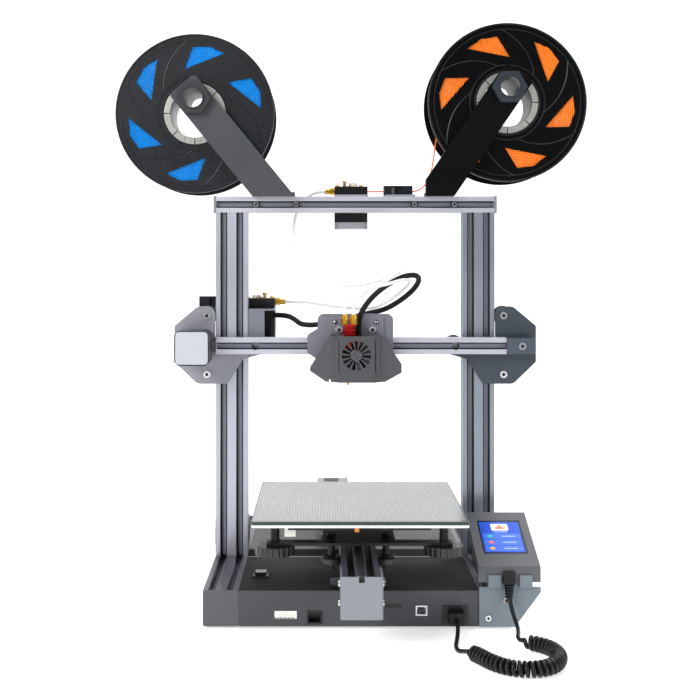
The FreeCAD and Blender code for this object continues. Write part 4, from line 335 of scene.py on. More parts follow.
hot_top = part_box("hotend")[1].z / mm
top_line = 503.5
left_route = [
    (-90.35, 80.9, hot_top + 12.2), (-79, 80.9, hot_top + 12.2),
    *((x, y, hot_top + z) for x, y, z in [
        (-64, 76, 12.4), (-45, 66, 9.6), (-20, 48, 6.4), (3, 32, 5.4), (24, 16, 6.2),
        (44, 7, 17), (61, -3, 31), (68, -20, 41.2), (57, -37, 43), (39, -46, 38), (21, -48, 34),
        (4, -46, 32), (-9.5, -38, 29), (-13.9, -29.5, 18), (-13.9, -29.5, 0),
    ]),
]
top_route = [
    (-37.65, 80.9, top_line), (-46, 80.9, top_line),
    *((x, y, hot_top + (top_line - hot_top) * z) for x, y, z in [
        (-58, 78.5, 0.971), (-69, 74.5, 0.900), (-77, 70, 0.785), (-79, 66, 0.637), (-74, 58, 0.496),
        (-62, 45, 0.361), (-45, 34, 0.277), (-27, 24, 0.233), (-5, 14, 0.220), (18, 8, 0.239),
        (38, 3, 0.285), (54, -6, 0.335), (54, -30, 0.340), (35, -38, 0.270), (17, -37, 0.195),
    ]),
    (3, -32, hot_top + 22), (-3.1, -29.5, hot_top + 12), (-3.1, -29.5, hot_top),
]
# PTFE tube, extruded: milky and smooth, so light passes into it and its edge shines.
ptfe = finish("white PTFE tube", "#eaeaeb", 0, 0.3, 2.0, 0.005, tone=0.02)
tune(ptfe, {"Transmission Weight": 0.15, "IOR": 1.35})
tube_step, tube_thick, split_height = 1.5 * mm, 4 * mm, 0.404
left_points, top_points = (route_points(route, tube_step) for route in (left_route, top_route))
# The top tube is two pieces, split where it first falls below the split height.
split = int(np.argmax(top_points[:, 2] < split_height))
high_points, low_points = top_points[: split + 1], top_points[split:]
for name, points, carriers, start, end in (
    ("left_feed_tube", left_points, ("gantry", "carriage"), (0, 0.066, 0.36), (0, -0.026, 0.36)),
    ("top_feed_tube_high", high_points, ("frame", "gantry"), (0, 0.074, 0.488), (0, 0.046, 0.406)),
    ("top_feed_tube_low", low_points, ("gantry", "carriage"), (0, 0.044, 0.4), (0, -0.026, 0.36)),
):
    tube = piece(name, pipe(points, tube_thick / 2), None, ptfe)
    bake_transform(tube)
    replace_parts(tube, "feed_tubes")

# Wiring loom: the hot end's leads in a braided black polyester sleeve. It leaves the heat sink
# upwards, loops over to the right and runs behind the beam into the left feeder's motor.

loom_route = [
    (3.2, -18.5, hot_top - 26.3), (3.2, -18.5, hot_top - 14.8),
    *((x, y, hot_top + z) for x, y, z in [
        (4.5, -19, -1.8), (12, -20, 12.2), (26, -20, 27.5), (45, -21, 40.5), (61, -21, 47.5),
        (75, -14, 48.2), (79, -2, 41), (72, 7, 29), (56, 12, 15.5), (37, 19.5, 4), (17, 27, -0.5),
        (-5, 27.5, -5.8), (-26, 28, -10.8), (-49, 30, -15.8), (-68, 38, -15.8), (-76, 50, -9.8),
        (-87, 60, -4.4), (-102.35, 60, -4.4),
    ]),
]
# Braided polyester sleeve: two sets of ribbons cross at 45 degrees, matt, with a faint sparkle.
braid = finish("braided polyester sleeve", "#0a0a0b", 0, 0.6, 1.2, 0.05, tone=0.2, shine=0.3)
tree = braid.node_tree
u, v, _ = add(tree, "SeparateXYZ", {0: add(tree, "UVMap", uv_map="grid")}).outputs
waves = []
for slant in ("ADD", "SUBTRACT"):
    ribbon = add(tree, "Math", {0: u, 1: v}, operation=slant)
    ribbon = add(tree, "Math", {0: ribbon, 1: np.pi / 2}, operation="MULTIPLY")
    waves.append(add(tree, "Math", {0: ribbon}, operation="SINE"))
weave = add(tree, "Math", {0: waves[0], 1: waves[1]}, operation="MULTIPLY")
ribs = add(tree, "Bump", {"Height": weave, "Distance": 0.35 * mm})
tree.links.new(ribs.outputs[0], tree.nodes["Principled BSDF"].inputs["Normal"])
loom_thick = 6.6 * mm
loom_points = route_points(loom_route, 1.3 * mm)
loom = piece("wiring_sleeve", pipe(loom_points, loom_thick / 2), None, braid)
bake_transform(loom)
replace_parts(loom, "wiring_loom")

# Filament between the right spool, its sensor and the top feeder: a bare plastic strand that was
# extruded 1.75 mm thick. It runs straight from feeder to sensor and bends up to the spool.

# Orange PLA filament, extruded: hard gloss on a smooth round strand.
strand_orange = finish("glossy orange PLA", "#e8691c", 0, 0.3, 2.0, 0.01, tone=0.04)
strand_routes = {
    "strand_to_feeder": [(-17.15, 80.9, top_line), (12, 80.9, top_line - 0.25), (38.5, 80.9, top_line)],
    "strand_from_spool": [
        (75.5, 80.9, 503.5), (82, 80.9, 504.3), (90, 80.9, 508.6), (97, 80.9, 519), (102, 80.9, 534),
        (104.6, 80.9, 554), (108.2, 80.9, 580), (108.6, 80.9, 612.5),
    ],
}
strand_thick = 1.75 * mm
for name, route in strand_routes.items():
    points = route_points(route, tube_step)
    line = piece(name, pipe(points, strand_thick / 2, 10), "frame", strand_orange)
    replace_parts(line, "filament_strand")

# Base rails: two extruded 40 mm aluminium profiles, sawn to length and anodised dark grey, with
# moulded end caps pushed into their bores. The whole machine stands on them.


def dress(nodes, *look, **more):
    """Gives CAD nodes a finish in place of their plain one, and returns it."""
    material = finish(*look, **more)
    for node in [nodes] if isinstance(nodes, str) else nodes:
        frame["nodes"][node].material_slots[0].material = material
    return material


def slots(half, low, high, *look, lines=(-165, -145, 145, 165)):
    """Fitted boxes for slots at x = lines, from x - half to x + half and from low to high in (y, z)."""
    return [((x - half, *low), (x + half, *high), *look) for x in lines]


# Half widths of a profile's slot and of its floor in mm, and the painted shade on its walls and floor.
slot_half, slot_floor = 5.6, 2.4
front_wall_shade, back_wall_shade, slot_floor_shade = ("#262933", 0.5, 0.5), ("#2c3040", 0.5, 0.5), ("#7c7f8a", 0.6, 0.45)
# Grey anodised aluminium: a satin metal with fine die lines along the profile, duller plastic caps, and
# painted shade on the slots' walls and floors.
dress(
    "base_rails", "dark grey anodised aluminium", "#6a6b71", 0.75, 0.42, 1.6, 0.015, stretch=(1, 0.03, 1),
    fitted=[
        ((-176, -141, 0), (176, -136.5, 45), "#4b4c50", 0, 0.5),
        ((-176, 257.5, 0), (176, 262, 45), "#55565a", 0, 0.5),
        *slots(slot_half, (-136, 36.7), (257, 42.6), *front_wall_shade),
        *slots(slot_floor, (-136, 20), (257, 39), "#4d505a", 0.6, 0.5),
    ],
)

# Base cover and floor: folded 1.5 mm steel sheet, powder coated, screwed between the rails. Four
# moulded rubber feet are under the rails' ends.

# Dark grey powder coat: a fine pebbled film with a soft sheen that rounds the folds. The top is
# darker in front, then a thin painted highlight and a strip of painted shadow before the glossier rear half.
dress(
    "base_cover", "dark grey powder coat", "#4c4d50", 0.1, 0.46, 1.5, 0.05, tone=0.07, shine=0.12,
    fitted=[
        ((-136, -139.2, 42.9), (136, 16, 43.2), "#29292b", 0, 0.7),
        ((-136, 16, 42.9), (136, 18.5, 43.2), "#8e8e8a", 0.2, 0.4),
        ((-136, 18.5, 42.9), (136, 56, 43.2), "#060606", 0, 0.9),
        ((-136, 56, 42.9), (136, 262, 43.2), "#3e3e3b", 0.1, 0.38),
    ],
)
# Zinc-plated sheet under the base, and black rubber feet that pick up dust.
dress(
    "base_floor", "zinc-plated floor sheet", "#8f9298", 0.9, 0.4, 3.0, 0.02, tone=0.15,
    fitted=[((-170, -140, -1), (170, 262, 3.01), "#1c1c1d", 0, 0.8)],
)

# Electronics: a green circuit board on four posts with chips and a finned driver, its folded power
# supply behind it, and the moulded shell of the power switch. Most of it is under the cover.

# Solder-masked board: glossy green over copper tracks, bare zinc-plated steel on the supply.
dress("base_electronics", "solder-masked circuit board", "#1d6b3c", 0, 0.3, 1.5, 0.03, tone=0.2, fitted=[
    ((-200, 10, 0), (200, 260, 60), "#a9acb0", 0.9, 0.35),
    ((-99, -127, 11.15), (127, -50, 27), "#1a1a1c", 0, 0.45),
    ((-125, -90, 25), (-100, -60, 60), "#161617", 0, 0.4),
    ((57, -139, 23), (60, -126, 27), "#d9f2e0", 0, 0.25),
])
# Sockets: white nylon on the eight-pin one, black elsewhere, nickel-plated steel round the usb one.
dress("front_sockets", "nickel-plated and nylon sockets", "#141415", 0, 0.4, 1.5, 0.02, fitted=[
    ((-95, -141, 11), (-69, -126, 21), "#efefe9", 0, 0.35),
    ((63, -141, 15), (78, -126, 27), "#c9cbce", 0.95, 0.28),
])
# Glossy moulded ABS: black, with soft edges worn bright by fingers.
button_abs = dress("power_button", "glossy black ABS", "#121214", 0, 0.22, 2.0, 0.01, tone=0.1, edge=0.8)

# Pins: tinned copper pins over moulded keys in the white eight-pin socket, pressed in 2.9 mm apart,
# and the black tongue of the usb socket.


def boxes(corners):
    """One mesh of blocks, each given by its lowest and highest corner in mm."""
    corners = np.array(corners, float) * mm
    pick = np.array([(0, 0, 0), (1, 0, 0), (1, 1, 0), (0, 1, 0), (0, 0, 1), (1, 0, 1), (1, 1, 1), (0, 1, 1)])
    points = np.where(pick, corners[:, 1][:, None], corners[:, 0][:, None])
    sides = np.array([(3, 2, 1, 0), (4, 5, 6, 7), (0, 1, 5, 4), (1, 2, 6, 5), (2, 3, 7, 6), (3, 0, 4, 7)])
    faces = (np.arange(len(corners))[:, None, None] * 8 + sides).reshape(-1, 4)
    mesh = bpy.data.meshes.new("surface")
    mesh.from_pydata(points.reshape(-1, 3).tolist(), [], faces.tolist())
    return mesh


# Bright tinned copper alloy: soft mirror, slightly yellow.
tin = finish("tinned copper alloy", "#d8cfae", 1, 0.25, 1.5, 0.01)
columns = [2.9 * n for n in range(8)]
for name, blocks, material in (
    ("socket_pins", [[(x - 92.6, -140.9, 15.4), (x - 91.5, -140.45, 16.8)] for x in columns], tin),
    ("socket_keys", [[(x - 94.2, -140.9, 12.1), (x - 92.6, -140.45, 13.4)] for x in columns], cord_black),
    ("usb_tongue", [[(67.2, -139.9, 18.2), (73.6, -130, 23.4)]], button_abs),
):
    piece(name, boxes(blocks), "frame", material, smooth=False)

# Uprights, top bar and beams: lighter grey anodised extrusions. The uprights stand on the base, the
# top bar ties them, the gantry's beam runs between its plates and the bed's beam lies on two blocks.


def anodise(node, name, colour, stretch, fitted, rough=0.36):
    """Satin anodised aluminium, its die lines drawn out along the axis whose stretch is small."""
    dress(node, name, colour, 0.72, rough, 1.6, 0.015, stretch=stretch, tone=0.05, fitted=fitted)


def mirrored(low, high, *look):
    """A fitted box and its image on the other side of x = 0."""
    return [(low, high, *look), ((-high[0], *low[1:]), (-low[0], *high[1:]), *look)]


# Light grey anodised aluminium: satin, with die lines along each length, and slots whose walls and floors
# are darkened with painted shade.
along_x, along_y, along_z = (0.03, 1, 1), (1, 0.03, 1), (1, 1, 0.03)
anodise("uprights", "light grey anodised aluminium", "#b2b3be", along_z, [
    # Painted shade: the right upright is darker, for the side away from the key light.
    ((134, 20, 40), (176, 45, 476), "#8a919c", 0.72, 0.36),
    *slots(slot_half, (22.9, 40), (28.8, 476), *front_wall_shade),
    *slots(slot_floor, (25.5, 40), (30, 476), *slot_floor_shade),
    *slots(slot_half, (36.2, 40), (42.1, 476), *back_wall_shade),
])
anodise("top_bar", "light grey anodised top bar", "#c2c3cc", along_x, [
    ((-174, 22.9, 478.4), (174, 28.8, 489.6), *front_wall_shade),
    ((-174, 25.5, 481.4), (174, 30, 486.6), *slot_floor_shade),
    ((-174, 36.2, 478.4), (174, 42.1, 489.6), *back_wall_shade),
    *mirrored((-180, 20, 470), (-175, 45, 496), "#77787e", 0, 0.5),
    *mirrored((-130, 20, 479), (-69, 22.4, 489), "#c9cacd", 1, 0.25),
])
anodise("gantry_beam", "light grey anodised gantry beam", "#bcbdc7", along_x, [
    ((-172, -0.6, 302.1), (186, 5.3, 313.3), *front_wall_shade),
    ((-172, 2, 305.1), (186, 7, 310.3), *slot_floor_shade),
    ((-172, 12.7, 302.1), (186, 18.6, 313.3), *back_wall_shade),
])
# The bed beam's slots are painted dark as painted shade.
bed_slot_shade = slots(slot_half, (-242, 79.7), (186, 85.6), "#191b22", 0.5, 0.5, lines=(-10, 10))
anodise("bed_beam", "light grey anodised bed beam", "#70727c", along_y, bed_slot_shade, rough=0.38)

# Stepper motors: a stack of black laminations between two die-cast end caps, with a pilot boss and a
# steel shaft. The carriage's motor has a painted cover over its back.

cast_cap = ("#9a9ba2", 0.9, 0.4)
# Black-coated laminations between cast caps: fine horizontal lines on the black, brighter metal caps.
for node, name, fitted in (
    (
        "frame_motors", "laminated steel of the frame's motors",
        [
            ((-179, 43, 42), (-135, 86, 52), *cast_cap),
            ((-179, 43, 73), (-135, 86, 99), *cast_cap),
            ((-49.1, 190, 60), (-39, 233, 104), *cast_cap),
            ((-19, 190, 60), (5, 233, 104), *cast_cap),
            ((-26, 53, 453), (17, 96, 462.5), "#b3b4ba", 0.9, 0.35),
        ],
    ),
    (
        "gantry_motors", "laminated steel of the gantry's motors",
        [
            # Painted shade: the rim of the cap round the carriage motor's cover is dark for the gap's shade.
            ((-220, -42, 286), (-177, -38.6, 329.5), "#2f3136", 0.3, 0.4),
            ((-220, -38.6, 286), (-177, -31, 329.5), "#6d7078", 0.8, 0.4),
            ((-220, -11, 286), (-177, 18, 329.5), "#8d9097", 0.9, 0.4),
            ((-145, 50, 310), (-117, 54.5, 365), "#5b5e68", 0.8, 0.35),
            ((-145, 53.6, 310), (-102, 96, 320), *cast_cap),
            ((-145, 53.6, 341), (-102, 96, 365), *cast_cap),
            ((-117, 53, 310), (-101, 72, 365), "#101013", 0.2, 0.45),
        ],
    ),
):
    dress(node, name, "#0f1012", 0.2, 0.45, 1.2, 0.03, stretch=(0.1, 0.1, 1), shine=0.3, fitted=fitted)

# Motor headers: moulded nylon sockets for the leads, clipped to the back or underside of each stepper
# but the carriage's, whose cover hides it.

# White nylon, moulded, slightly yellow and waxy.
nylon = finish("white nylon header", "#e6e4da", 0, 0.4, 1.5, 0.01, tone=0.04)
frame_headers = [
    [(-165, 85.6, 58), (-149, 88.6, 64)], [(-37, 206, 58.6), (-31, 222, 61.3)],
    [(-13, 95.6, 466), (3, 98.4, 472)],
]
gantry_headers = [[(-132, 95.6, 322), (-116, 98.4, 328)]]
piece("frame_motor_headers", boxes(frame_headers), "frame", nylon, smooth=False)
piece("gantry_motor_header", boxes(gantry_headers), "gantry", nylon, smooth=False)

# Gantry plates: 3 mm aluminium sheet, laser cut and coated grey, two behind the beam's ends, each on
# three V wheels. Button-head screws hold the wheels, and a sheet shelf carries the screw's nut.


def screw_box(x, z, half, front, back, *look):
    """A fitted box round a screw along Y: half wide about x and z, from its front to its back."""
    return ((x - half, front, z - half), (x + half, back, z + half), *look)


plate_wheels = [(x, z) for x in (-185.8, 185.8) for z in (344.5, 270.9)]
bright_head, steel_screw = ("#d4d5d8", 1, 0.18), ("#8c8d91", 1, 0.3)
turned_brass, gear_brass = ("#d9a93a", 1, 0.25), ("#c9a04a", 1, 0.3)
# Grey coated aluminium plate: even satin, with bright steel screw heads and a brass screw nut. The right
# plate and the tensioner at the beam's right end are painted darker, as painted shade.
dress("gantry_plates", "grey coated aluminium plate", "#8a8b92", 0.45, 0.42, 2.0, 0.02, fitted=[
    *(screw_box(x, z, 5, 15, 18.98, *bright_head) for x, z in plate_wheels),
    *(screw_box(x, z, 5, 22.02, 45, *steel_screw) for x, z in plate_wheels),
    *(((x - 5, 15, 302), (x + 5, 45, 313), *steel_screw) for x in (-124.2, 124.2)),
    ((100, 18.98, 255), (230, 22.02, 360), "#3d454d", 0.45, 0.42),
    ((-168.5, 53, 279), (-145, 76, 294), *gear_brass),
    ((186, -3.02, 297), (223, 18.98, 318.5), "#4a535d", 0.5, 0.4),
])

# Carriage plate: the same coated sheet, laser cut, with a folded bracket in front. It rides on three
# V wheels, and two small screws hold the hot end's bracket.

head_wheels = [(-20.5, 328.5), (20.5, 328.5), (0, 286.9)]
dress("carriage_plate", "grey coated carriage plate", "#777882", 0.45, 0.42, 2.0, 0.02, fitted=[
    *(screw_box(x, z, 5, -15, -12.02, *bright_head) for x, z in head_wheels),
    *(screw_box(x, z, 5, -5.9, 18, *steel_screw) for x, z in head_wheels),
    *(screw_box(x, 338, 3, -15, -12.02, "#2b2c30", 1, 0.3) for x in (-25.5, 25.5)),
])

# V wheels: black polyoxymethylene on two ball bearings, turned to a V that runs in the profiles'
# slots. Screws hold them on their plates.

# Black POM: waxy and smooth, dulled on the running flanks, with a steel bearing in the middle.
wheels = [name for name in frame["nodes"] if "_wheel_" in name]
dress(wheels, "black POM wheels", "#202022", 0, 0.38, 1.5, 0.01, tone=0.12)


def lathe(profile, centre, axis, around, hollow=False):
    """A turned piece: each (radius, height) of the profile, in mm, goes round the axis through centre.

    A hollow one is a ring whose profile closes on itself, any other is capped at both ends.
    """
    profile = np.array(profile, float) * mm
    angle = np.linspace(0, 2 * np.pi, around, endpoint=False)
    ring = np.stack([np.cos(angle), np.sin(angle), np.zeros(around)], -1)
    points = profile[:, 0, None, None] * ring
    points[..., 2] = profile[:, 1, None]
    return grid(points[..., axis_order[axis]] + np.array(centre) * mm, True, looped=hollow, caps=not hollow)


def joined(meshes):
    """One mesh of several, made by adding their faces to one another."""
    whole = bpy.data.meshes.new("surface")
    points, faces = [], []
    for mesh in meshes:
        faces += [[len(points) + n for n in face.vertices] for face in mesh.polygons]
        points += [v.co[:] for v in mesh.vertices]
        bpy.data.meshes.remove(mesh)
    whole.from_pydata(points, [], faces)
    return whole


def middle_of(node):
    """The middle of a CAD node's box, in mm."""
    low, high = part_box(node)
    return (low + high) / 2 / mm


def body_of(node):
    """The body that carries a CAD node."""
    return frame["nodes"][node]["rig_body"]


axis_order = {"X": (2, 0, 1), "Y": (1, 2, 0), "Z": (0, 1, 2)}
# Ground bearing steel: bright rings, with a shield that stands back between them.
bearing_steel = finish("ground bearing steel", "#b9bbc0", 1, 0.22, 1.5, 0.01)
shield = [
    (3.1, 0.0), (3.2, 0.35), (4.4, 0.35), (4.6, 0.12), (6.6, 0.12), (6.8, 0.35), (7.8, 0.35), (7.9, 0.0)
]
wheel_half, bearing_inset = 5, 1.2
for name in wheels:
    axis = "Z" if name.startswith("bed") else "Y"
    rings = []
    for way in (-1, 1):
        ring = [(radius, way * (wheel_half - bearing_inset + rise)) for radius, rise in shield]
        rings.append(lathe(ring, middle_of(name), axis, 32, hollow=True))
    piece(name + "_bearing", joined(rings), body_of(name), bearing_steel)

# Toothed belts: black rubber on glass cord, 6 mm wide with teeth 2 mm apart on the inner side. One
# lies in the bed beam and turns round the front idler, one runs along the gantry beam.


def toothed_belt(axis, low, high, level, middle):
    """A closed belt from low to high along its axis, round rollers whose pitch radius is bend.

    Its band lies between two radii, and on two of every four steps of 0.5 mm a tooth stands inwards
    from it. On the straights those radii are distances from the level of the rollers' axes.
    """
    bend, tooth_in, band_in, outer, half = 6.35, 5.65, 6.4, 7.05, 3.0
    long, arc = high - low, np.pi * bend
    total = 2 * long + 2 * arc
    run = np.linspace(0, total, 4 * int(total / 2), endpoint=False)
    inner = np.where(np.arange(len(run)) % 4 < 2, tooth_in, band_in)
    stretches = [run < long, run < long + arc, run < 2 * long + arc]
    far, near = (run - long) / bend, (run - 2 * long - arc) / bend
    points = np.empty((len(run), 4, 3))
    for corner, (radius, side) in enumerate(((inner, -half), (outer, -half), (outer, half), (inner, half))):
        radius = np.broadcast_to(radius, run.shape)
        along = np.select(
            stretches, [low + run, high + radius * np.sin(far), high - (run - long - arc)],
            low - radius * np.sin(near),
        )
        up = np.select(stretches, [-radius, -radius * np.cos(far), radius], radius * np.cos(near))
        across = np.full(len(run), middle + side)
        places = (across, along, level + up) if axis == "Y" else (along, across, level + up)
        points[:, corner] = np.stack(places, -1)
    return grid(points * mm, around=True, looped=True)


# Black neoprene, moulded: matt, with a fine cloth on the toothed side.
belt_rubber = finish("black neoprene belt", "#17171a", 0, 0.6, 0.8, 0.03, tone=0.15)
for node, body, loop in (
    ("bed_belt", "frame", toothed_belt("Y", -250.75, 211.65, 82.35, 0)),
    ("carriage_belt", "gantry", toothed_belt("X", -198.5, 206.0, 307.7, 9)),
):
    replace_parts(piece(node + "_toothed", loop, body, belt_rubber), node)

# Pulleys and belt brackets: aluminium rollers with rims, and folded strips that hold the bed's idler
# in front and its motor behind. The front one has whitish screws in its sides.

# Turned aluminium: bright, with fine rings.
pulley_metal = ("#b9bbc0", 1, 0.3)
dress(("bed_pulley", "carriage_pulley"), "turned aluminium pulley", *pulley_metal, 1.0, 0.02)
# Silver-grey coated sheet: a fine metallic grain, with nickel-plated screw heads.
dress("belt_brackets", "silver-grey coated bracket", "#7d8287", 0.35, 0.4, 1.2, 0.03, fitted=[
    *mirrored((-24.5, -236, 52), (-22.02, -228, 80), "#d6d6d2", 0.9, 0.2),
    ((-5, -258.5, 74.5), (5, -243, 90.5), *pulley_metal),
])

# Lead screw: a rolled stainless rod with four starts, 8 mm of lead, in a clamped aluminium coupler
# on the lift motor's shaft. Its thread is right-handed.

screw_x, screw_y, screw_low, screw_high, lead, starts = -157.0, 64.5, 98, 472.4, 8, 4
crest, groove, flat = 3.98, 0.85, 0.5
level_step = 0.42
level = np.arange(screw_low, screw_high, level_step)[:, None]
angle = np.linspace(0, 2 * np.pi, 24, endpoint=False)
# The radius is the crest less the groove's depth times clip(2 * |2 * phase - 1| - flat, 0, 1), where the
# phase goes once from 0 to 1 for each start, round the rod and along a lead.
phase = (starts * (angle / (2 * np.pi) - level / lead)) % 1
radius = crest - groove * np.clip(2 * np.abs(2 * phase - 1) - flat, 0, 1)
thread = np.stack(np.broadcast_arrays(
    screw_x + radius * np.cos(angle), screw_y + radius * np.sin(angle), level,
), -1)
coupler_out, slit_out, coupler_low, coupler_high = 9.5, 8.9, 86, 111
# The coupler's slits are 0.6 mm wide and 4 mm apart, and its rim is broken by 0.5 mm.
coupler = [(4.0, coupler_low), (9.0, coupler_low), (coupler_out, coupler_low + 0.5)]
for slit in (92, 96, 100, 104):
    coupler += [(coupler_out, slit - 0.2), (slit_out, slit)]
    coupler += [(slit_out, slit + 0.6), (coupler_out, slit + 0.8)]
coupler += [(coupler_out, coupler_high - 0.5), (9.0, coupler_high), (4.0, coupler_high)]
# Stainless steel, oiled: bright crests over darker roots, with a few dull streaks.
screw_steel = finish("rolled stainless thread", "#b6b7ba", 1, 0.26, 3.0, 0.01, tone=0.1)
screw_mesh = joined([
    grid(thread * mm, around=True, caps=True),
    lathe(coupler, (screw_x, screw_y, 0), "Z", 40, hollow=True),
])
screw = piece("lead_screw_thread", screw_mesh, "lead_screw", screw_steel)
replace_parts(screw, "lead_screw")

# Bolt sockets: the hexagon recess pressed into each steel button head, a shallow flat darkened with
# painted shade inside a bright rim, and the two small domed heads that hold the hot end's bracket.

# Recess floors: steel painted near black as painted shade, so the shallow hexagons look deep, with a trace
# of oil.
recess_shade = finish("painted shade in socket recess", "#101013", 0.6, 0.5, 1.0, 0.02)
# Zinc-plated steel heads, cold formed: a bright soft mirror.
rim_steel = finish("bright button-head steel", "#d7d8da", 1, 0.16, 1.5, 0.01)


def recesses(name, places, body, across=2.2):
    """Hexagons, across mm in radius, at (x, face y, z) and 0.05 mm in front of their heads."""
    made = joined([lathe([(across, -0.05), (across, 0.3)], place, "Y", 6) for place in places])
    return piece(name, made, body, recess_shade, smooth=False)


def button_heads(name, places, body, radius, height):
    """Domed screw heads with their faces to the front: height * (1 - 0.75 * (r / radius) ** 3)."""
    out = np.linspace(radius, 0.3 * radius, 7)
    profile = [(radius, 0.02)] + [(r, -height * (1 - 0.75 * (r / radius) ** 3)) for r in out]
    made = joined([lathe(profile, place, "Y", 28) for place in places])
    return piece(name, made, body, rim_steel)


beam_bolt = (206, -5, 307.7)
recesses("gantry_bolt_recesses", [(x, 16.4, z) for x, z in plate_wheels] + [beam_bolt], "gantry")
recesses("carriage_bolt_recesses", [(x, -14.6, z) for x, z in head_wheels], "carriage")
recesses("bar_bolt_recesses", [(x, 21.7, 484) for x in (-124.6, -74.4, 74.4, 124.6)], "frame", 1.9)
recesses("tray_bolt_recesses", [(145, -143.5, 13), (165, -143.5, 33)], "frame", 1.7)
small_front, small_height = -12, 2.3
small_screws = [(x, 338) for x in (-25.5, 25.5)]
button_heads(
    "carriage_small_screws", [(x, small_front, z) for x, z in small_screws], "carriage", 2.9, small_height
)
sunk = small_front - small_height - 0.05
recesses("carriage_small_recesses", [(x, sunk, z) for x, z in small_screws], "carriage", 1.1)

# Motor cover: a pressed and painted cap over the carriage motor's back, with rounded corners and a
# dark gap round it.


def rounded(low, high, corner, back, front):
    """A slab from back to front along Y whose outline, from (x, z) low to high, has round corners.

    Each outline is its corners' centres plus the corner's radius * (cos, sin), and the front edge is
    broken by 0.5 mm.
    """
    angle = np.linspace(0, 2 * np.pi, 48, endpoint=False)
    rows = []
    for inset, depth in ((0, back), (0, front + 0.5), (0.5, front)):
        x = np.where(np.cos(angle) > 0, high[0] - corner, low[0] + corner) + (corner - inset) * np.cos(angle)
        z = np.where(np.sin(angle) > 0, high[1] - corner, low[1] + corner) + (corner - inset) * np.sin(angle)
        rows.append(np.stack([x, np.full(48, depth), z], -1))
    return grid(np.array(rows) * mm, around=True, caps=True)


# Satin silver-white paint on pressed steel, smooth and slightly pearly.
cap_paint = finish("silver-white painted cap", "#b0b3bc", 0.1, 0.36, 1.5, 0.001, tone=0.01)
cap = rounded((-218.2, 288.1), (-178.8, 327.4), 5, -40.9, -42.4)
piece("motor_cover", cap, "gantry", cap_paint)

# Feeders and the filament sensor: black cast and moulded blocks on sheet shelves. A brass gear draws
# the filament in, a spring presses the lever on it, and a brass fitting holds the feed tube.

shelf_sheet = ("#8d8e99", 0.45, 0.4)
# Black moulded nylon with brass fittings and gears, on grey coated sheet shelves.
dress("top_feeder", "black cast top feeder", "#121315", 0.1, 0.35, 1.5, 0.03, shine=0.35, fitted=[
    ((-40, 20, 493), (80, 97, 496.45), *shelf_sheet),
    ((-38, 76, 498), (-25.62, 86, 509), *turned_brass),
    ((-10.2, 68.5, 499), (1.2, 80.5, 507.6), *gear_brass),
])
dress("left_feeder", "black cast left feeder", "#191a1e", 0.1, 0.35, 1.5, 0.03, shine=0.35, fitted=[
    ((-203, 21, 297), (-102, 97, 352.95), "#7b7d88", 0.45, 0.4),
    ((-102.28, 76, 355), (-90, 86, 365), *turned_brass),
    ((-129.2, 68.5, 356), (-117.8, 80.5, 364.1), *gear_brass),
])
levers = ("top_feeder_lever", "left_feeder_lever")
dress(levers, "black nylon levers", "#101012", 0, 0.35, 1.5, 0.02, edge=0.7, shine=0.35)
dress("runout_sensor", "black moulded sensor", "#1f2328", 0, 0.35, 1.5, 0.02, shine=0.35, fitted=[
    ((38, 20, 493), (76, 97, 496.45), *shelf_sheet),
    ((48.5, 70.7, 499.5), (58.5, 71.2, 508), "#5f6d66", 0.3, 0.3),
])

# Bright brass, turned: warm mirror with fine rings.
brass = finish("turned brass", "#d9a93a", 1, 0.22, 1.0, 0.015)
# Zinc-plated spring wire, drawn: a bright mirror, slightly yellow.
spring_steel = finish("zinc-plated spring steel", "#c9c6bd", 1, 0.25, 1.0, 0.01)


def spring(centre, axis, long, radius, wire, turns):
    """A helix of wire: radius * (cos, sin) that rises by long * (t - 0.06 * sin(2 * pi * t))."""
    turn = np.linspace(0, 1, int(turns * 14) + 1)
    rise = long * (turn - 0.06 * np.sin(2 * np.pi * turn))
    angle = 2 * np.pi * turns * turn
    place = np.stack([radius * np.cos(angle), radius * np.sin(angle), rise - long / 2], -1)
    return pipe((place[:, axis_order[axis]] + np.array(centre)) * mm, wire / 2 * mm, 8)


def collets(tip, rim, centres, axis):
    """The nylon rings that hold a tube in its fitting, each with a lip that stands out by tip."""
    profile = [(2.05, tip), (rim, tip), (rim, 0.6 * tip), (rim - 0.6, 0.5 * tip), (rim - 0.6, 0), (2.05, 0)]
    return joined([lathe(profile, centre, axis, 28, hollow=True) for centre in centres])


knurl = [(1.5, 0), (4.2, 0), (4.5, 0.3), (4.5, 2.6), (4.2, 2.9), (2.0, 2.9), (1.9, 4.2), (0.4, 4.4)]
screw_head = [(2.6, 0), (2.6, 1.6), (2.2, 2), (0.3, 2)]
post = [(1.6, 0), (1.6, 5.6), (2.9, 5.6), (2.9, 7.0), (2.4, 7.4), (0.3, 7.4)]
# Each feeder: body, middle, the way its tube leaves along X, the top of its walls, its tube's line. A
# turned part is a profile, its place from the middle along X, its Y and Z, and its number of sides.
for label, body, middle, way, top, line in (
    ("top", "frame", -4.5, -1, 508.5, 503.5), ("left", "gantry", -123.5, 1, 365.0, 360.0)
):
    turned = [(knurl, 0, 74.55, top - 1, 36), (post, 8, 61, top, 24)]
    turned += [(screw_head, away, y, top, 24) for away, y in ((17.5, 58), (-13, 58), (17, 78))]
    springs = [
        spring((middle + way * 8, 61, top + 2.9), "Z", 5.0, 2.4, 0.7, 4.5),
        spring((middle - way * 2.5, 57.5, top + 2.65), "X", 10, 2.3, 0.7, 7),
    ]
    lip = collets(2.0 * way, 3.4, [(middle + way * 33.1, 80.9, line)], "X")
    for name, mesh, material in (
        ("brass", joined([lathe(p, (middle + way * x, y, z), "Z", n) for p, x, y, z, n in turned]), brass),
        ("springs", joined(springs), spring_steel),
    ):
        piece(f"{label}_feeder_{name}", mesh, body, material)
    piece(f"{label}_collet", lip, body, nylon)
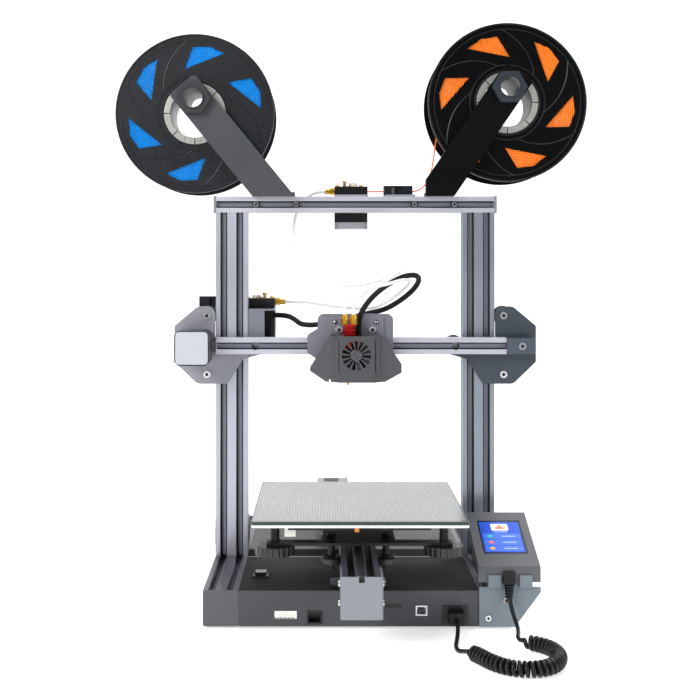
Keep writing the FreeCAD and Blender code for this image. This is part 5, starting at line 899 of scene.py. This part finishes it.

# Spool arms: bent steel straps that lean out from the top bar, powder coated grey, the right one painted
# near black as painted shade. A tube through each one carries a spool, held by a hexagon nut.

# Powder coat: fine orange peel, with the folds worn a little brighter. The right arm's near black is painted
# shade.
dress(
    "spool_arms", "powder-coated arms", "#46474b", 0.1, 0.42, 1.4, 0.04, shine=0.12,
    fitted=[((80, 0, 490), (225, 60, 665), "#050506", 0, 0.36)],
)
# Moulded tubes and nuts: grey-black nylon, glossy on the right, where the tube behind the nut is painted
# near black as painted shade.
dress("spool_tubes", "moulded nylon tubes", "#292b2d", 0, 0.38, 1.5, 0.03, shine=0.4, fitted=[
    ((160, -3, 600), (225, 11, 660), "#2a3037", 0.05, 0.32),
    ((160, 11, 600), (225, 99, 660), "#0c0c0e", 0, 0.4),
])

# Spools: two moulded flanges on a drum, glossy black with swirled ribs and a raised rim, and PLA
# filament wound between them in close turns, blue on the left and orange on the right.

# Black polystyrene, injection moulded: glossy, with faint flow lines. The left spool is a little lighter as
# painted sheen, the right one near black as painted shade.
flange_look = {"tone": 0.03, "edge": 0.5}
spool_plastic = dress(
    "spool_left", "glossy black polystyrene", "#1b1c1f", 0, 0.3, 8.0, 0.001, shine=0.35, **flange_look
)
dress("spool_right", "black polystyrene in painted shade", "#040506", 0, 0.3, 8.0, 0.001, shine=0.12, **flange_look)
# Silvery card ring in the bore, slightly creased.
band_foil = finish("silvery card ring", "#c4c3bd", 0.8, 0.3, 4.0, 0.15, tone=0.12)


def round_disc(hub, radius, depth, angle):
    """Points of a disc in front view: (hub x + radius * cos, depth, hub z + radius * sin)."""
    return np.stack(np.broadcast_arrays(
        hub.x + radius * np.cos(angle), depth, hub.z + radius * np.sin(angle)
    ), -1)


wound_low, wound_high, wound_out, drum_out, strand = 26.0, 89.0, 87.2, 46.0, 2.6
crown_face, crown_out, flange_front, flange_back = 1.9, 0.7, 24.5, 90.5
swirl_in, swirl_out, swirl_thick, band_in, band_out, band_thick = 47, 92, 1.5, 31.0, 38.8, 0.3
# The raised rings on each flange: radius, height and half width.
raised_rings = ((98.6, 0.9, 1.0), (92.2, 0.6, 0.7), (47.0, 0.7, 0.9), (40.6, 0.8, 1.2))
angle = np.linspace(0, 2 * np.pi, 240, endpoint=False)
out = np.arange(drum_out, wound_out, strand / 6)[:, None]
across = np.arange(wound_low, wound_high, strand / 5)[:, None]
reach = np.linspace(swirl_in, swirl_out, 26)
for side, code, way, start in (("left", "#0a7fcc", 1, 92), ("right", "#ea7e25", -1, 98.6)):
    hub, body = middle_of(f"spool_{side}"), body_of(f"spool_{side}")
    # Turns on a face: radius runs out and the face stands by a half round of each strand. The turns
    # wander, so the phase has a slow wave round the spool.
    wander = 0.9 * np.sin(3 * angle) + 0.5 * np.sin(7 * angle + 1.3) + way * angle / np.pi
    crown = np.abs(np.sin(np.pi * (out / strand + wander)))
    front = round_disc(hub, out, wound_low + crown_face * (1 - crown), angle)
    crown = np.abs(np.sin(np.pi * (across / strand + 0.4 * np.sin(2 * angle))))
    outer = round_disc(hub, wound_out - crown_out * (1 - crown), across, angle)
    back = front.copy()[::-1]
    back[..., 1] = wound_high - (back[..., 1] - wound_low)
    # Blue or orange PLA in close turns: shiny on each strand's crown, shaded between strands.
    pla = finish(f"{side} wound PLA filament", code, 0, 0.3, 5.0, 0.02, tone=0.1)
    wound = grid(np.concatenate([front, outer, back]) * mm, around=True, looped=True)
    piece(f"{side}_winding", wound, body, pla)
    # Swirl rib: radius runs from the inner ring to the rim while the angle sweeps back.
    sweep = 6 + 50 * ((reach - swirl_in) / (swirl_out - swirl_in)) ** 0.9
    relief, bands = [], []
    for face, sign in ((flange_front, -1), (flange_back, 1)):
        for radius, tall, wide in raised_rings:
            profile = [(radius - wide, 0), (radius - 0.6 * wide, sign * tall)]
            profile += [(radius + 0.6 * wide, sign * tall), (radius + wide, 0)]
            relief.append(lathe(profile, (hub.x, face, hub.z), "Y", 96, hollow=True))
        for index in range(6):
            line = round_disc(hub, reach, face, np.radians(start - 60 * index * way - way * sweep))
            relief.append(pipe(line * mm, swirl_thick / 2 * mm, 8))
        # The card ring is eight segments of 43 degrees on each face, whose outer side stands out.
        for index in range(8):
            turn = np.radians(45 * index + np.linspace(1, 44, 16))[:, None]
            depth = face + sign * band_thick * np.array([0, 1, 1, 0])
            corners = round_disc(hub, np.array([band_in, band_in, band_out, band_out]), depth, turn)
            bands.append(grid(corners * mm, around=True, caps=True))
    piece(f"{side}_spool_relief", joined(relief), body, spool_plastic)
    piece(f"{side}_spool_bands", joined(bands), body, band_foil)

# Bed glass: 4 mm tempered plate with a baked, slightly rough coat on top that carries a fine pale
# grid. It lies loose on the heated plate, and its ground edges look green.

# Coated glass: satin top with pale lines 3.2 mm apart both ways, deep green edges.
glass_coat = dress(
    "bed_glass", "coated tempered glass", "#666a68", 0, 0.2, 1.2, 0.01, tone=0.04, edge=0.3,
    fitted=[((-118, -197, 128), (118, 40, 132.4), "#0e2b20", 0, 0.08)],
)
tree = glass_coat.node_tree
place = add(tree, "TexCoord").outputs["Object"]
x, y, z = add(tree, "SeparateXYZ", {0: place}).outputs
marks, line_gap = [], 3.2 * mm
for way in (x, y):
    wave = add(tree, "Math", {0: way, 1: 2 * np.pi / line_gap}, operation="MULTIPLY")
    wave = add(tree, "Math", {0: wave}, operation="SINE")
    marks.append(add(tree, "MapRange", {0: wave, 1: 0.1, 2: 0.75, 3: 0.0, 4: 1.0}))
printed = add(tree, "Math", {0: marks[0], 1: marks[1]}, operation="MAXIMUM")
# The lines stop short of the plate's edges, and are on its top alone.
for way, low, high in ((x, -115, 115), (y, -190, 36.5), (z, 132.4, 200)):
    for limit, side in ((low, "GREATER_THAN"), (high, "LESS_THAN")):
        within = add(tree, "Math", {0: way, 1: limit * mm}, operation=side)
        printed = add(tree, "Math", {0: printed, 1: within}, operation="MULTIPLY")
strength = add(tree, "Math", {0: printed, 1: 0.6}, operation="MULTIPLY")
tint = tree.nodes["Principled BSDF"].inputs["Base Color"]
plain = tint.links[0].from_socket
lined = add(tree, "Mix", {0: strength, 6: plain, 7: linear("#adb0ae")}, data_type="RGBA")
tree.links.new(lined.outputs[2], tint)

# Heated plate: 3 mm aluminium with a heater sheet and grey felt under it, on four screws in springs.
# Its leads end in a white terminal block, and a strip of polyimide tape holds the sensor.

bed_corners = [(x, y) for x in (-93, 93) for y in (-163.5, 6.5)]
# Milled aluminium: bright, with fine cross marks, over dark felt and screws.
dress("heated_plate", "milled aluminium heated plate", "#d2d4d6", 0.85, 0.3, 1.0, 0.02, fitted=[
    ((-79, -180, 119), (79, 23, 125.65), "#2b2c2e", 0, 0.9),
    *(((x - 6, y - 6, 88), (x + 6, y + 6, 125.65), "#1a1a1c", 0.4, 0.5) for x, y in bed_corners),
])
# Blackened spring wire and amber polyimide tape, glossy and thin.
wire_black = finish("blackened spring wire", "#3a3b3e", 0.9, 0.3, 1.0, 0.02)
tape = finish("amber polyimide tape", "#c07a1c", 0, 0.25, 2.0, 0.03, tone=0.12)
springs = joined([spring((x, y, 114.85), "Z", 20.2, 4.95, 1.5, 6) for x, y in bed_corners])
piece("bed_springs", springs, "bed", wire_black)
for name, low, high, material in (
    ("bed_terminal", (-82, -176, 112), (-70, -166, 125.6), nylon),
    ("bed_tape", (-6, -195.6, 121.4), (-1, -176, 125.6), tape),
):
    piece(name, boxes([[low, high]]), "bed", material, smooth=False)

# Bed carriage and levelling knobs: an H of 4 mm aluminium plate on four V wheels under the beam's
# lips, and ribbed black knobs on the screws under its corners.

# Black coated aluminium plate: an even, quiet sheen.
dress("bed_carriage", "black coated carriage", "#131315", 0.1, 0.42, 1.5, 0.03, shine=0.35)
# Moulded nylon knobs: black, glossy on the ribs, with a zinc-plated nut in the middle.
knobs = [name for name in frame["nodes"] if name.startswith("knob_")]
dress(knobs, "ribbed black nylon knobs", "#161617", 0, 0.24, 1.5, 0.015, tone=0.12, edge=0.8)
for name in knobs:
    low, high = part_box(name)
    at = ((low.x + high.x) / 2 / mm, (low.y + high.y) / 2 / mm, low.z / mm)
    nut = lathe([(4.1, 0.2), (4.1, -1.7), (3.7, -2.1), (0.3, -2.1)], at, "Z", 6)
    piece(name + "_nut", nut, body_of(name), spring_steel, smooth=False)

# Hot end: a red anodised heat sink with fins and two brass fittings over an aluminium heater block
# with a brass nozzle, clamped to the carriage plate's bracket.

# Red anodised aluminium with bright machined fin edges, brass fittings above.
dress("hotend", "red anodised heat sink", "#b9161c", 0.75, 0.28, 1.0, 0.02, fitted=[
    ((-19, -40, 335.8), (3, -20, 349), "#d9a93a", 1, 0.22),
    ((-20.2, -41, 269), (0.5, -21, 297.9), "#b7b9bc", 0.95, 0.35),
    ((-20.2, -41, 261), (0.5, -21, 267.05), "#c9a04a", 1, 0.28),
])
fitting_lines, fitting_y = (-13.9, -3.1), -29.5
tips = collets(2.0, 3.3, [(x, fitting_y, 347.8) for x in fitting_lines], "Z")
piece("hotend_collets", tips, "carriage", nylon)
# Each fitting's knurled waist, turned in brass between its hexagon and its collet.
waist = [(3.6, 0), (4.55, 0.2), (4.55, 1.2), (4.2, 1.5), (4.2, 2.4), (4.55, 2.7), (4.55, 3.6)]
waist += [(4.1, 3.9), (3.6, 3.9)]
waists = joined([lathe(waist, (x, fitting_y, 342.4), "Z", 32, hollow=True) for x in fitting_lines])
piece("hotend_fitting_waists", waists, "carriage", brass)

# Shroud and fans: a folded dark grey cover over the fan and two blowers, open behind and below, with
# a round grille cut in its front.

# Charcoal powder coat on sheet: fine pebble; black moulded fans inside.
fan_black = ("#141416", 0, 0.4)
shroud_coat = dress(
    "hotend_shroud", "charcoal coated shroud", "#444548", 0.1, 0.42, 1.4, 0.04, shine=0.4,
    fitted=[
        ((-20.2, -60.88, 281), (19, -51, 320.2), *fan_black),
        ((-43.2, -34.1, 281), (-31.9, -13.9, 300), *fan_black),
        ((32.9, -34.1, 281), (44.1, -13.9, 300), *fan_black),
    ],
)
# Two pressed ridges that stiffen the front sheet, one at each side of the grille.
ridge = [(0.2, -19.6), (1.0, -19.2), (1.4, -18.2), (1.4, 18.2), (1.0, 19.2), (0.2, 19.6)]
ridges = joined([lathe(ridge, (x, -62.1, 299), "Z", 24) for x in (-23.1, 24.4)])
piece("shroud_ridges", ridges, "carriage", shroud_coat)
# Moulded rotor, black and smooth, with a matt grey disc pressed on its hub.
dress("hotend_fan", "black moulded fan rotor", "#1a1a1c", 0, 0.3, 2.0, 0.01)
hub_paper = finish("matt grey hub disc", "#9a9ca0", 0.2, 0.5, 2.0, 0.01)
hub_cap = lathe([(6.7, -0.02), (6.2, -0.3), (0.3, -0.3)], (-0.6, -59.6, 300.6), "Y", 40)
piece("fan_hub_disc", hub_cap, body_of("hotend_fan"), hub_paper)

# Screen: a moulded charcoal case that leans back on its bracket, with a glass-fronted display that
# shows a plain start page: a pale band with a house, and three rounded keys with a round sign each.

lean, case_front, case_foot, slab_thick = np.radians(18.7), -143.5, 70.8, 0.08


def on_case(along, depth):
    """A place of the screen's top face: (y, z) at a length up its slope and a depth below its face."""
    return (
        case_front + along * np.cos(lean) + depth * np.sin(lean),
        case_foot + along * np.sin(lean) - depth * np.cos(lean),
    )


def key(left, right, start, end, corner, depth):
    """A thin slab whose outline is its corners' centres plus corner * (cos, sin), depth below the face."""
    angle = np.linspace(0, 2 * np.pi, 40, endpoint=False)
    x = np.where(np.cos(angle) > 0, right - corner, left + corner) + corner * np.cos(angle)
    along = np.where(np.sin(angle) > 0, end - corner, start + corner) + corner * np.sin(angle)
    rows = [np.stack([x, *on_case(along, low)], -1) for low in (depth + slab_thick, depth)]
    return grid(np.array(rows) * mm, around=True, caps=True)


# Charcoal ABS: fine spark-eroded texture, soft edges. The display's cover is glossy black glass.
dress("screen_housing", "charcoal textured ABS", "#525458", 0, 0.46, 1.0, 0.05, edge=0.9)


def lit(name, code, power):
    """A lit part of the display: its own colour, glowing, with a faint dot pattern."""
    material = finish(name, code, 0, 0.2, 0.6, 0.002, tone=0.03)
    tune(material, {"Emission Color": linear(code), "Emission Strength": power})
    return material


lcd_coral = lit("coral sign", "#f07a5a", 0.3)
lying, raised = 0.06, -0.03
# Each piece of the page: its slabs (left, right, start, end, corner, depth) and its material.
for name, slabs, material in (
    ("screen_glass", [(143.2, 193.8, 26.9, 98.5, 1.5, 0.24)], button_abs),
    ("screen_page", [(145.2, 191.8, 30.2, 95.6, 1.0, 0.15)], lit("deep blue display", "#1c4ec4", 0.35)),
    ("screen_band", [(158.5, 178.5, 76.5, 91.0, 1.6, lying)], lit("white display", "#f2f2fa", 0.35)),
    (
        "screen_keys", [(147.0, 190.0, start, start + 11.6, 1.6, lying) for start in (32.2, 45.2, 58.2)],
        lit("key blue display", "#3f6fe0", 0.35),
    ),
    (
        "screen_bars",
        [(168, 184, start, start + 1.5, 0.7, raised) for start in (37.2, 50.2, 63.2)]
        + [(160.5, 176.5, 72.6, 74.0, 0.6, lying)],
        lit("pale display", "#b9cbf6", 0.3),
    ),
    ("screen_sign_low", [(152, 158, 35.2, 41.2, 3.0, raised)], lit("amber sign", "#e8b83a", 0.3)),
    ("screen_sign_middle", [(152, 158, 48.2, 54.2, 3.0, raised)], lcd_coral),
    ("screen_sign_high", [(152, 158, 61.2, 67.2, 3.0, raised)], lit("teal sign", "#28c4b0", 0.3)),
    (
        "screen_house", [(163.5, 173.5, 79.5, 84.5, 0.8, raised), (166.5, 170.5, 84.5, 88.0, 0.8, raised)],
        lcd_coral,
    ),
):
    piece(name, joined([key(*slab) for slab in slabs]), "frame", material, smooth=False)

# Screen bracket: 2 mm sheet steel, folded and coated, screwed to the right rail's end with two
# plated screws. Two tabs hook the case.

# Blue-grey coat on sheet: a fine even grain, with bright steel screw heads.
dress(
    "screen_bracket", "blue-grey coated bracket", "#6f7a82", 0.3, 0.42, 1.3, 0.03,
    fitted=[((140, -143.6, 8), (170, -141.98, 38), "#d6d6d4", 1, 0.2)],
)

# Plug and gland of the screen's cord: soft black PVC, moulded over the cord's ends. The gland's tail
# is five grip ribs that narrow downwards.

# Moulded black PVC: a dull sheen and well rounded edges.
dress("screen_plugs", "moulded black PVC plug", "#0c0c0d", 0, 0.4, 1.2, 0.03, edge=0.8, shine=0.35)
ribs = []
for step in range(5):
    tall, radius = 51.8 - 3.1 * step, 5.4 - 0.35 * step
    profile = [(2.3, tall), (radius, tall), (radius, tall - 1.7), (2.3, tall - 1.7)]
    ribs.append(lathe(profile, (167.5, -148, 0), "Z", 28, hollow=True))
piece("screen_cord_relief", joined(ribs), "frame", cord_black)
